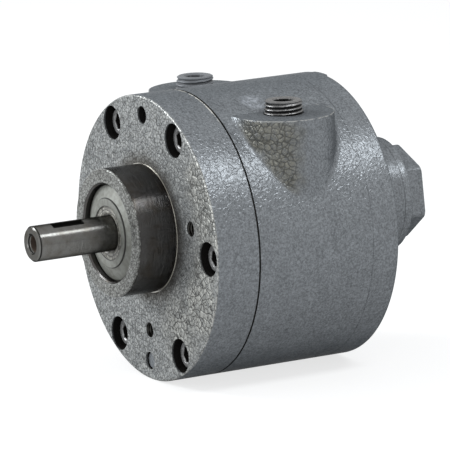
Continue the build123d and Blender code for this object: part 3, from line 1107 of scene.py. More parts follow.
class MeshBuilder:
    """Collects closed turned surfaces and makes one object of them."""

    def __init__(self) -> None:
        """Starts with no surfaces.

        Points are counted as they come, so that faces can name them.
        """
        self.points: list[np.ndarray] = []
        self.faces: list[list[int]] = []
        self.count = 0

    def add(self, place: Placement, radius: np.ndarray, height: np.ndarray,
            ring: bool = False) -> None:
        """Adds one closed surface.

        The rows run up the outside, so that the faces point outwards. A ring joins its last row to
        its first. Any other surface is closed by a fan to a point on the axis at each end.

        Args:
            place: The surface's local frame.
            radius: Radii in millimetres, rows by columns.
            height: Heights in millimetres, rows by columns or rows by one.
            ring: True for a surface that closes on itself.
        """
        grid = place.points(radius, height)
        rows, columns = radius.shape
        index = self.count + np.arange(rows * columns).reshape(rows, columns)
        below = index if ring else index[:-1]
        above = np.roll(index, -1, axis=0) if ring else index[1:]
        quads = np.stack([below, np.roll(below, -1, axis=1), np.roll(above, -1, axis=1), above], -1)
        self.faces += quads.reshape(-1, 4).tolist()
        self.points.append(grid.reshape(-1, 3))
        self.count += rows * columns
        if not ring:
            self._fan(grid[0].mean(axis=0), index[0][::-1])
            self._fan(grid[-1].mean(axis=0), index[-1])

    def _fan(self, middle: np.ndarray, rim: np.ndarray) -> None:
        """Closes a rim with triangles to its middle.

        Args:
            middle: Point that the triangles meet at.
            rim: Indices of the rim's points.
        """
        self.points.append(middle[None])
        hub = np.full(len(rim), self.count)
        self.faces += np.stack([rim, np.roll(rim, -1), hub], -1).tolist()
        self.count += 1

    def make(self, name: str, material: bpy.types.Material, body: Body,
             crease: float = 35.0) -> bpy.types.Object:
        """Makes the object, dresses it and lets it ride.

        Args:
            name: The object's name.
            material: Its material.
            body: The body that it rides on.
            crease: Angle in degrees above which an edge stays sharp.

        Returns:
            The new object.
        """
        mesh = bpy.data.meshes.new(name)
        mesh.from_pydata(np.concatenate(self.points).tolist(), [], self.faces)
        mesh.shade_smooth()
        mesh.set_sharp_from_angle(angle=math.radians(crease))
        mesh.materials.append(material)
        piece = bpy.data.objects.new(name, mesh)
        bpy.context.scene.collection.objects.link(piece)
        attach(piece, body.value)
        LOG.info("made %s: %d vertices", name, len(mesh.vertices))
        return piece


def rounded(outline: Sequence[Point], steps: int = 5, ring: bool = False) -> np.ndarray:
    """Outline whose corners are arcs.

    Each corner's arc touches both runs at equal distances from the corner, and its points are the
    centre plus a vector turned evenly from one touching point to the other.

    Args:
        outline: (radius, height, corner radius) points in millimetres.
        steps: Points on each arc.
        ring: True if the last point joins the first.

    Returns:
        Points as rows of (radius, height).
    """
    corners = np.array([point[:2] for point in outline], float)
    found = []
    for i, (_, _, bend) in enumerate(outline):
        at_end = not ring and i in (0, len(outline) - 1)
        if bend <= 0 or at_end:
            found.append(corners[i][None])
            continue
        found.append(_arc(corners[i - 1], corners[i], corners[(i + 1) % len(outline)], bend, steps))
    return np.concatenate(found)


def _arc(before: np.ndarray, corner: np.ndarray, after: np.ndarray, bend: float,
         steps: int) -> np.ndarray:
    """Arc that rounds one corner of an outline.

    Args:
        before: Point before the corner.
        corner: The corner.
        after: Point after it.
        bend: Radius of the arc.
        steps: Points on the arc.

    Returns:
        The arc's points.
    """
    u, v = before - corner, after - corner
    lengths = np.linalg.norm(u), np.linalg.norm(v)
    u, v = u / lengths[0], v / lengths[1]
    half = math.acos(float(np.clip(u @ v, -1, 1))) / 2
    reach = min(bend / math.tan(half), 0.49 * min(lengths))
    centre = corner + (u + v) / np.linalg.norm(u + v) * reach / math.cos(half)
    start, stop = corner + u * reach - centre, corner + v * reach - centre
    whole = math.pi - 2 * half
    share = np.linspace(0, 1, steps)[:, None]
    turned = np.sin((1 - share) * whole) * start + np.sin(share * whole) * stop
    return centre + turned / math.sin(whole)


def hexagon_radius(apothem: float, columns: int, turn: float = 0.0,
                   power: float = 60.0) -> np.ndarray:
    """Radii of a hexagon with rounded corners.

    The apothem over the radius is the power mean of the cosines of the angles from the middles of
    the six flats, so that a flat stays flat and a higher power makes a sharper corner.

    Args:
        apothem: Middle to a flat, in millimetres.
        columns: Number of points round the hexagon.
        turn: Angle of one corner, in degrees.
        power: Sharpness of the corners.

    Returns:
        One radius for each column.
    """
    angle = np.linspace(0, 2 * math.pi, columns, endpoint=False)[:, None]
    flats = math.radians(turn) + math.pi / 6 + np.arange(6) * math.pi / 3
    cosines = np.maximum(np.cos(angle - flats), 0)
    return apothem / (cosines ** power).sum(axis=1) ** (1 / power)


def on_circle(circle: float, degrees: float, y: float) -> Point:
    """Point on a circle about the housing's centre.

    Args:
        circle: Radius of the circle, in millimetres.
        degrees: Angle from +X towards +Z.
        y: Place along the shaft, in millimetres.

    Returns:
        The point, in metres.
    """
    angle = math.radians(degrees)
    return circle * math.cos(angle) * MM, y * MM, (circle * math.sin(angle) - OFFSET) * MM


def thread_wave(turns: np.ndarray, steep: float, level: float) -> np.ndarray:
    """Wave of a thread along its helix, cut off at 0 and 1.

    Args:
        turns: Turns of the helix at each point.
        steep: Rise from the middle of a turn to its ends.
        level: Height in the middle of a turn.

    Returns:
        The wave at each point, 0 to 1.
    """
    return np.clip(np.abs(2 * np.mod(turns, 1.0) - 1) * steep + level, 0, 1)


@dataclass
class CapScrewSet:
    """Six socket-head screws of one end plate. Lengths are millimetres.

    Attributes:
        node: The CAD node that the screws replace.
        top_y: Y of the heads' tops.
        heading: Direction that the heads face.
        length: Shank under the head.
        circle: Circle that the screws stand on.
        count: Number of screws.
        head_radius: Radius of a head.
        head_height: Height of a head.
        head_round: Rounding of its top edge.
        socket: Middle of the socket to a flat.
        socket_depth: Depth of the socket.
        shank: Radius of the shank.
        tip_bevel: Bevel of the tip.
        mouth: How far the socket's round mouth passes its flats, at the top and under its bevel.
        mouth_depth: Depth of that bevel.
        drill: Hollow under the socket: shares of the socket's radius, and depths below its floor.
        turns: Angle of the first socket, and how much more each next one is turned, in degrees.
        columns: Points round a screw.
    """

    node: str
    top_y: float
    heading: Heading
    length: float
    circle: float = SCREW_CIRCLE
    count: int = SCREW_COUNT
    head_radius: float = 7.15
    head_height: float = 9.5
    head_round: float = 0.7
    socket: float = 3.97
    socket_depth: float = 4.8
    shank: float = 4.75
    tip_bevel: float = 0.8
    mouth: Pair = (0.95, 0.55)
    mouth_depth: float = 0.4
    drill: tuple[Pair, ...] = ((0.55, 0.5), (0.1, 1.2))
    turns: Pair = (17.0, 23.0)
    columns: int = 96

    def build(self, finish: bpy.types.Material) -> bpy.types.Object:
        """Builds the screws as one piece.

        Args:
            finish: Their material.

        Returns:
            The piece.
        """
        mesh = MeshBuilder()
        first, more = self.turns
        for i in range(self.count):
            foot = on_circle(self.circle, i * 360 / self.count, self.top_y)
            mesh.add(Placement(foot, self.heading), *self._profile(first + more * i))
        piece = mesh.make(self.node.replace("screws", "cap_screws"), finish, Body.HOUSING)
        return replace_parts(piece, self.node)

    def _profile(self, turn: float) -> tuple[np.ndarray, np.ndarray]:
        """One screw from its tip to the floor of its socket.

        Rows are circles up to the socket's mouth. Below the mouth they are hexagons.

        Args:
            turn: Angle of the socket, in degrees.

        Returns:
            Radii and heights, with height 0 at the head's top.
        """
        tip, floor = -self.head_height - self.length, -self.socket_depth
        wide, narrow = self.mouth
        outline = rounded([
            (0.5, tip, 0), (self.shank - self.tip_bevel, tip, 0),
            (self.shank, tip + self.tip_bevel, 0), (self.shank, -self.head_height, 0),
            (self.head_radius, -self.head_height, 0.3), (self.head_radius, 0, self.head_round),
            (self.socket + wide, 0, 0.2), (self.socket + narrow, -self.mouth_depth, 0),
        ])
        radius = np.repeat(outline[:, :1], self.columns, axis=1)
        height = outline[:, 1:]
        hexagon = hexagon_radius(self.socket, self.columns, turn)
        walls = np.stack([hexagon, hexagon, *(hexagon * share for share, _ in self.drill)])
        depths = np.array([[-self.mouth_depth - 0.2], [floor],
                           *([floor - down] for _, down in self.drill)])
        return np.concatenate([radius, walls]), np.concatenate([height, depths])


@dataclass
class PortPlugs:
    """Two threaded plugs that stand out of the air ports. Lengths are millimetres.

    Attributes:
        node: The CAD node that the plugs replace.
        centre: X and Y of the right plug's axis.
        pad_z: Height of the pads.
        below: Plug under its pad.
        stand: Plug above its pad.
        crest: Radius of the thread at the pad and at the top.
        pitch: Pitch of the thread.
        thread_depth: Depth of the thread.
        wave: Steepness and level of the thread, as in `thread_wave`.
        run_in: Length over which the thread deepens at the lower end.
        run_out: Distance from the top at which it ends, and the length over which it fades.
        sunk: Share of the thread's radius that is left under the pad.
        bevel: Width and height of the bevel round the top.
        mouth: How far the socket's round mouth passes its flats, at the top and under its bevel.
        mouth_depth: Depth of that bevel.
        socket: Middle of the socket to a flat.
        socket_depth: Depth of the socket.
        columns: Points round a plug.
        rows: Points along the thread.
    """

    node: str = "port_plugs"
    centre: Pair = PORT_CENTRE
    pad_z: float = PAD_Z
    below: float = 11.0
    stand: float = PLUG_STAND
    crest: Pair = PLUG_CREST
    pitch: float = 2.1
    thread_depth: float = 0.95
    wave: Pair = (1.5, -0.22)
    run_in: float = 2.0
    run_out: Pair = (0.4, 1.4)
    sunk: float = 0.995
    bevel: Pair = (0.75, 0.9)
    mouth: Pair = (1.4, 0.8)
    mouth_depth: float = 0.5
    socket: float = 4.75
    socket_depth: float = 6.0
    columns: int = 180
    rows: int = 90

    def build(self, finish: bpy.types.Material) -> bpy.types.Object:
        """Builds both plugs as one piece.

        Args:
            finish: Their material.

        Returns:
            The piece.
        """
        mesh = MeshBuilder()
        radius, height = self._profile()
        x, y = self.centre
        for side in (-1, 1):
            foot = (side * x * MM, y * MM, self.pad_z * MM)
            mesh.add(Placement(foot, Heading.UP), radius, height)
        piece = mesh.make("threaded_port_plugs", finish, Body.HOUSING, crease=50.0)
        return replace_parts(piece, self.node)

    def _profile(self) -> tuple[np.ndarray, np.ndarray]:
        """One plug from its lower end to the floor of its socket.

        The thread's radius is the tapered crest less the depth times the wave of the helix, whose
        turns are height over pitch less the share of the way round. It fades out near both ends.

        Returns:
            Radii and heights, with height 0 at the pad.
        """
        height = np.linspace(-self.below, self.stand - 0.5, self.rows)[:, None]
        around = np.arange(self.columns)[None] / self.columns
        wide, narrow = self.crest
        crest = wide + (narrow - wide) * np.maximum(height, 0) / self.stand
        wave = thread_wave(height / self.pitch - around, *self.wave)
        end, fade = self.run_out
        run_in = np.clip((height + self.below) / self.run_in, 0, 1)
        run_out = np.clip((self.stand - end - height) / fade, 0, 1)
        thread = crest - self.thread_depth * wave * run_in * run_out
        thread = thread * np.where(height > 0, 1.0, self.sunk)
        across, down = self.bevel
        outer, inner = self.mouth
        top = rounded([
            (narrow, self.stand - down, 0), (narrow - across, self.stand, 0.3),
            (self.socket + outer, self.stand, 0.3),
            (self.socket + inner, self.stand - self.mouth_depth, 0),
        ])[1:]
        rim = np.repeat(top[:, :1], self.columns, axis=1)
        hexagon = hexagon_radius(self.socket, self.columns)
        walls = np.stack([hexagon, hexagon, hexagon * 0.1])
        floor = self.stand - self.socket_depth
        depths = np.array([[self.stand - self.mouth_depth - 0.3], [floor], [floor]])
        foot = np.full((1, self.columns), wide * 0.3)
        radius = np.concatenate([foot, thread, rim, walls])
        heights = np.concatenate([[[-self.below]], height, top[:, 1:], depths])
        return radius, heights


@dataclass
class EndCap:
    """Flange, hexagon and spigot that close the rear boss. Lengths are millimetres.

    Attributes:
        node: The CAD node that the cap replaces.
        seat_y: Y of the boss's end, where the flange sits.
        flange_radius: Radius of the flange.
        flange_rim: Straight side of the flange, before it slopes to the hexagon.
        flange_height: Height of the flange.
        hexagon_height: Height of the hexagon above the flange.
        apothem: Middle of the hexagon to a flat.
        corner: Middle of the hexagon to a corner.
        turn: Angle of one corner, from +X towards +Z, in degrees.
        sharpness: Sharpness of the corners, as in `hexagon_radius`.
        spigot: Radius of the spigot.
        spigot_bore: Radius of the hollow in it.
        spigot_length: Length of the spigot.
        groove: Inner radius, outer radius and depth of the ring's groove.
        end_bevel: Width and height of the bevel on the hexagon's corners.
        end_edge: Width and height of the rounding of its end.
        root: Radius of the arc between hexagon and flange.
        columns: Points round the cap.
    """

    node: str = "end_cap"
    seat_y: float = 142.7
    flange_radius: float = 31.0
    flange_rim: float = 4.3
    flange_height: float = 6.8
    hexagon_height: float = 10.5
    apothem: float = 22.225
    corner: float = 25.66
    turn: float = 37.5
    sharpness: float = 38.0
    spigot: float = 24.55
    spigot_bore: float = 18.55
    spigot_length: float = 10.0
    groove: tuple[float, float, float] = (26.9, 28.9, 2.0)
    end_bevel: Pair = (1.2, 0.6)
    end_edge: Pair = (0.3, 0.12)
    root: float = 0.8
    columns: int = 288

    def build(self, finish: bpy.types.Material) -> bpy.types.Object:
        """Builds the cap.

        Args:
            finish: Its material.

        Returns:
            The piece.
        """
        mesh = MeshBuilder()
        radius, height = self._profile()
        mesh.add(Placement((0, self.seat_y * MM, 0), Heading.REAR), radius, height)
        piece = mesh.make("hexagon_end_cap", finish, Body.HOUSING, crease=30.0)
        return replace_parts(piece, self.node)

    def _profile(self) -> tuple[np.ndarray, np.ndarray]:
        """The cap from the floor inside its spigot to the middle of its hexagon.

        Rows of the hexagon are the smaller of the hexagon and a cone that bevels its corners
        towards the end. A quarter arc joins its foot to the flange, and a small one rounds its end.

        Returns:
            Radii and heights, with height 0 at the seat.
        """
        top = self.flange_height + self.hexagon_height
        inner, outer, deep = self.groove
        outline = rounded([
            (0.5, 0, 0), (self.spigot_bore, 0, 0.5), (self.spigot_bore, -self.spigot_length, 0.3),
            (self.spigot, -self.spigot_length, 0.5), (self.spigot, 0, 0), (inner, 0, 0),
            (inner, deep, 0), (outer, deep, 0), (outer, 0, 0), (self.flange_radius, 0, 0.4),
            (self.flange_radius, self.flange_rim, 0.7), (self.corner + 1.2, self.flange_height, 0.4),
            (self.corner + 0.9, self.flange_height, 0),
        ])
        radius = np.repeat(outline[:, :1], self.columns, axis=1)
        hexagon = hexagon_radius(self.apothem, self.columns, -self.turn, self.sharpness)
        arc = np.linspace(0, math.pi / 2, 5)[:, None]
        foot = np.minimum(hexagon + self.root * (1 - np.sin(arc)), self.corner + 0.6)
        foot_height = self.flange_height + self.root * (1 - np.cos(arc))
        side, down = self.end_bevel
        inset, drop = self.end_edge
        levels = top - np.array([down + 0.3, down, down / 2, drop, 0.0])[:, None]
        cone = self.corner - np.maximum(levels - (top - down), 0) / down * side
        edge = np.array([0, 0, 0, inset / 5, inset])[:, None]
        wall = np.minimum(hexagon, cone) - edge
        radius = np.concatenate([radius, foot, wall, wall[-1:] * 0.5])
        height = np.concatenate([outline[:, 1:], foot_height, levels, [[top]]])
        return radius, height


@dataclass
class ShaftSeal:
    """Dished metal cover and rubber lip in the hub's mouth. Lengths are millimetres.

    Attributes:
        rim_radius: Radius of the cover.
        rim_y: Y of the cover's rim.
        face_y: Y of its flat middle.
        cone_radius: Radius at which the cover folds to its flat middle.
        mouth_radius: Radius of its mouth.
        wall: Thickness of the cover.
        back_y: Y of its back edge.
        lip_radius: Radius of the lip where it meets the shaft.
        columns: Points round the seal.
    """

    rim_radius: float = 25.98
    rim_y: float = -19.5
    face_y: float = -22.8
    cone_radius: float = SEAL_FOLD
    mouth_radius: float = 14.2
    wall: float = 1.0
    back_y: float = -12.5
    lip_radius: float = 10.06
    columns: int = 160

    def build(self, cover: bpy.types.Material, rubber: bpy.types.Material) -> None:
        """Builds the cover and the lip.

        Args:
            cover: Finish of the metal cover.
            rubber: Finish of the lip.
        """
        self._turn("seal_cover", self._cover(), cover, "shaft_seal_case")
        self._turn("seal_lip", self._lip(), rubber, "shaft_seal_lip")

    def _turn(self, name: str, outline: np.ndarray, finish: bpy.types.Material,
              node: str) -> None:
        """Turns an outline of (radius, y) about the shaft and stands it for its CAD node.

        Args:
            name: The piece's name.
            outline: Rows of radius and Y.
            finish: Its material.
            node: The CAD node that it replaces.
        """
        mesh = MeshBuilder()
        radius = np.repeat(outline[:, :1], self.columns, axis=1)
        mesh.add(Placement((0, 0, 0), Heading.FRONT), radius, -outline[:, 1:], ring=True)
        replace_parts(mesh.make(name, finish, Body.HOUSING), node)

    def _cover(self) -> np.ndarray:
        """Outline of the cover, up its outside and back down its inside.

        Returns:
            Rows of radius and Y.
        """
        t, y, fold = self.wall, self.face_y, self.cone_radius
        return rounded([
            (self.rim_radius, self.back_y, 0.1), (self.rim_radius, self.rim_y, 0.8),
            (fold + 0.1, y + 0.75, 0.1), (fold - 0.1, y, 0.25),
            (self.mouth_radius, y, 0.35), (self.mouth_radius, y + t, 0.2),
            (fold - t, y + t, 0), (fold - t, y + 0.5 + t, 0),
            (self.rim_radius - t, self.rim_y + t, 0.4), (self.rim_radius - t, self.back_y, 0.1),
        ], ring=True)

    def _lip(self) -> np.ndarray:
        """Outline of the lip, up the outside towards the front and down the side by the shaft.

        Returns:
            Rows of radius and Y.
        """
        t, r, y = self.wall, self.lip_radius, self.face_y
        return rounded([
            (self.cone_radius - t, y + t, 0), (self.mouth_radius, y + t, 0),
            (self.mouth_radius, y + 0.1, 0.3), (self.mouth_radius - 0.5, y + 0.6, 0.2),
            (r + 1.2, y + 0.3, 0.3), (r + 0.1, y + 0.9, 0.3), (r, y + 4.5 * t, 0.2),
            (r + t, y + 5 * t, 0.3), (r + 2 * t, y + 5 * t, 0.3), (self.cone_radius - t, y + 2 * t, 0),
        ], ring=True)


@dataclass
class MountingThreads:
    """Threads in the three tapped holes of the front plate. Lengths are millimetres.

    Attributes:
        circle: Circle that the holes stand on.
        angles: Angle of each hole, from +X towards +Z, in degrees.
        bore: Radius of the holes.
        thread_depth: Depth of the thread.
        pitch: Pitch of the thread.
        wave: Steepness and level of the thread, as in `thread_wave`.
        sleeve: Thickness of the sleeve in the thread's roots.
        run_in: Length over which the thread deepens.
        mouth: Depth at which the thread begins.
        length: Depth at which it ends.
        columns: Points round a hole.
        rows: Points along the thread.
    """

    circle: float = TAP_CIRCLE
    angles: tuple[float, ...] = TAP_ANGLES
    bore: float = 3.96
    thread_depth: float = 0.42
    pitch: float = 1.588
    wave: Pair = (-1.6, 1.2)
    sleeve: float = 0.03
    run_in: float = 1.2
    mouth: float = 0.65
    length: float = 15.0
    columns: int = 48
    rows: int = 80

    def build(self, finish: bpy.types.Material) -> bpy.types.Object:
        """Builds the three threads as one piece.

        Each is a sleeve: the wall of the hole going in, and back out a helical inner face whose
        radius dips by the thread's depth times its wave.

        Args:
            finish: Their material.

        Returns:
            The piece.
        """
        depth = np.linspace(self.mouth, self.length, self.rows)[:, None]
        around = np.arange(self.columns)[None] / self.columns
        wave = thread_wave(depth / self.pitch + around, *self.wave)
        fade = np.clip((depth - self.mouth) / self.run_in, 0, 1)
        inner = self.bore - self.sleeve - self.thread_depth * wave * fade
        outer = np.full((2, self.columns), self.bore)
        radius = np.concatenate([outer, inner])
        height = -np.concatenate([[[self.length], [self.mouth]], depth])
        mesh = MeshBuilder()
        for angle in self.angles:
            place = Placement(on_circle(self.circle, angle, 0.0), Heading.FRONT)
            mesh.add(place, radius, height, ring=True)
        return mesh.make("tapped_hole_threads", finish, Body.HOUSING, crease=60.0)


class Finishes:
    """All the motor's materials, each made once."""

    def __init__(self) -> None:
        """Makes every material.

        The paints come first, then the metals and the soft materials.
        """
        self._paints()
        self._metals()
        self._soft()

    def _paints(self) -> None:
        """The hammered paint, with each casting's own thick places, unpainted holes with painted shade,
        and painted edge highlights.

        A patch is its middle and its radius in the frame's millimetres. A grain is the cells'
        size, crevice, darkness, spread of shades and relief.
        """
        counterbores = HoleRing(SCREW_CIRCLE, 9.2, SCREW_COUNT)
        dowels = HoleRing(SCREW_CIRCLE, 4.76, 2, 90.0)
        taps = tuple(HoleRing(TAP_CIRCLE, 4.0, 1, angle) for angle in TAP_ANGLES)
        sockets = HoleRing(SCREW_CIRCLE, 4.6, SCREW_COUNT)
        smooth = PaintGrain(1.9, 0.13, 0.2, 0.2, 0.01)
        # Its face darkens round the hub's foot as painted shade
        self.front_plate = HammeredPaint(
            # The face's flake and its thick patches' flake are lighter copies of the paint, as painted
            # light
            "front_plate_paint", thick_flake=(0.56, 0.56, 0.525), seams=(Seam(25.2, 0.45, 1.0),),
            face=PaintGrain(2.3, 0.14, 0.7, 0.34, 0.1),
            thick=PaintGrain(3.2, 0.12, 0.85, 0.32, 0.17, 0.35),
            # Counterbores, dowel holes and tapped holes get painted shade
            bare_shaded_holes=(counterbores, dowels, *taps), bare_shade_from=(0.3, 1.2), hub_shade=(34.0, 44.0),
            patches=(Patch((60, 0, 32), 20), Patch((66, 0, 12), 20),
                     Patch((62, 0, -12), 16), Patch((58, 0, -32), 22),
                     Patch((34, 0, -48), 28, 0.15)),
            # Painted highlights on the face's outer edge and along the top of the plate's rear edge
            edge_highlights=(RimHighlight(76.0, 0.3, strength=0.3, width=0.4),
                  RimHighlight(76.4, 24.5, strength=1.0, width=0.75, above=57.0))).material()
        self.body = HammeredPaint(
            "body_paint", seams=(Seam(25.3, 0.45, 1.0), Seam(94.1, 0.15, 0.3)),
            flank=BossFlank(BOSS_CENTRE, 27.0, PAD_Z),
            patches=(Patch((57, 37, 55), 16, 0.4), Patch((66, 45, 52), 16, 0.3),
                     Patch((67, 46, 40), 15, 0.3), Patch((69, 49, 30), 11, 0.2),
                     Patch((-60, 40, 52), 17, 0.3)),
            # Painted highlight streaks beside the near port
            highlight_streaks=(Patch((28, 52, 64), 10, 0.3),),
            # Painted highlight along the near pad's rim
            edge_highlights=(RimHighlight(26.8, 61.4, 0.45, 0.4, axis=Heading.UP, centre=BOSS_CENTRE),)).material()
        self.rear_plate = HammeredPaint(
            "rear_plate_paint", lit_face_flake=HammeredPaint.flake, face=smooth, face_y=(111.0, 113.0),
            face_crinkle=0.2, bare_shaded_holes=(counterbores, dowels), bare_shade_from=(110.1, 109.2),
            seams=(Seam(94.3, 0.15, 0.3), Seam(142.6, 0.15, 0.35)), crinkle=0.07).material()
        self.cap = HammeredPaint("cap_paint", common=smooth, crinkle=0.009).material()
        self.screws, self.rear_screws = (
            # The screws' sockets get painted shade
            HammeredPaint(name, (0.3, 0.3, 0.3), crinkle=0.02, bare_shaded_holes=(sockets,),
                          bare_shade_from=levels).material()
            for name, levels in (("front_screw_paint", (4.3, 4.8)),
                                 ("rear_screw_paint", (109.5, 109.0))))

    def _metals(self) -> None:
        """Steel, iron and brass.

        A metal is its clean colour, its stain, the stain's size and share, and its roughness.
        """
        self.hub = HubMetal("hub_metal", (0.08, 0.078, 0.077), (0.046, 0.036, 0.025), 9.0,
                            0.7, (0.14, 0.21), relief=0.12).material()
        self.shaft = ShaftMetal("ground_shaft", (0.15, 0.149, 0.143), (0.08, 0.069, 0.051), 7.0,
                                0.5, (0.14, 0.24), relief=0.09).material()
        self.plug = PlugMetal("plug_metal", (0.22, 0.22, 0.22), (0.11, 0.108, 0.105), 1.5,
                              0.8, (0.22, 0.36)).material()
        # The tapped holes' threads are dark as painted shade in the holes
        self.tap = PlainFinish("shaded_cut_threads", (0.07, 0.07, 0.065), (0.03, 0.028, 0.025), 1.0).material()
        self.seal = PlainFinish("pressed_cover", (0.19, 0.195, 0.178), (0.13, 0.132, 0.115), 0.3,
                                (0.45, 0.6), mottle=2.5, relief=0.05,
                                # Painted shade at the cover's rim, fold and mouth
                                shaded_grooves=((25.5, 0.5), (SEAL_FOLD, 0.4), (14.3, 0.5))).material()
        self.iron = PlainFinish("machined_iron", (0.2, 0.2, 0.2), (0.12, 0.12, 0.12), 1.0).material()
        self.bearing = PlainFinish("bearing_steel", (0.55, 0.55, 0.56), (0.45, 0.45, 0.46), 1.0,
                                   (0.12, 0.2)).material()
        self.brass = PlainFinish("cage_brass", (0.55, 0.4, 0.16), (0.4, 0.28, 0.1), 1.0).material()
        self.spring = PlainFinish("spring_steel", (0.2, 0.2, 0.21), (0.12, 0.12, 0.12), 1.0).material()

    def _soft(self) -> None:
        """Rubber, gasket fibre and the vanes' laminate.

        These aren't metals, and each mottles from its lighter to its darker colour.
        """
        self.rubber = PlainFinish("dusty_rubber", (0.32, 0.31, 0.27), (0.045, 0.042, 0.033),
                                  rough=(0.12, 0.45), mottle=1.9, grain=1.8, relief=1.2,
                                  # Painted shade in a groove of the lip
                                  shaded_grooves=((12.3, 0.35),)).material()
        self.gasket = PlainFinish("gasket_fibre", (0.012, 0.012, 0.012),
                                  (0.006, 0.006, 0.006)).material()
        self.vane = PlainFinish("pressed_laminate", (0.12, 0.07, 0.035), (0.07, 0.04, 0.02)).material()


@dataclass
class CadDress:
    """Gives every CAD node its finish.

    Attributes:
        finishes: The motor's materials.
    """

    finishes: Finishes

    def dress(self) -> None:
        """Dresses every CAD node.

        Nodes that a finer piece stands for get its finish too. Vanes and bearings go by name.
        """
        f = self.finishes
        chosen = {
            "drive_end_plate": f.front_plate, "drive_end_hub": f.hub, "body_casting": f.body,
            "dead_end_plate": f.rear_plate, "shaft": f.shaft, "rotor": f.iron,
            "port_plugs": f.plug, "end_cap": f.cap, "shaft_seal_case": f.seal,
            "shaft_seal_lip": f.rubber, "end_cap_oring": f.rubber,
            "drive_end_gasket": f.gasket, "dead_end_gasket": f.body,
            "drive_end_screws": f.screws, "dead_end_screws": f.rear_screws,
            "drive_end_dowels": f.cap, "dead_end_dowels": f.cap,
            "seal_spring": f.spring, "preload_spring": f.spring, "shaft_circlip": f.spring,
        }
        for name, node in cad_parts.items():
            finish = chosen.get(name) or self._inner(name)
            node.data.materials.clear()
            node.data.materials.append(finish)
            LOG.info("dressed %s with %s", name, finish.name)

    def _inner(self, name: str) -> bpy.types.Material:
        """Finish of a vane or a bearing's piece, by its name.

        Args:
            name: The node's name.

        Returns:
            The finish.
        """
        if name.startswith("vane"):
            return self.finishes.vane
        return self.finishes.brass if name.endswith("cage") else self.finishes.bearing


@dataclass(frozen=True)
class Lamp:
    """Rectangular soft lamp that faces the motor.

    Attributes:
        name: The lamp's name.
        toward: Direction from the motor to the lamp.
        distance: How far the lamp stands, in metres.
        sides: Its length and width, in metres.
        power: Its power in watts.
    """

    name: str
    toward: Point
    distance: float
    sides: Pair
    power: float


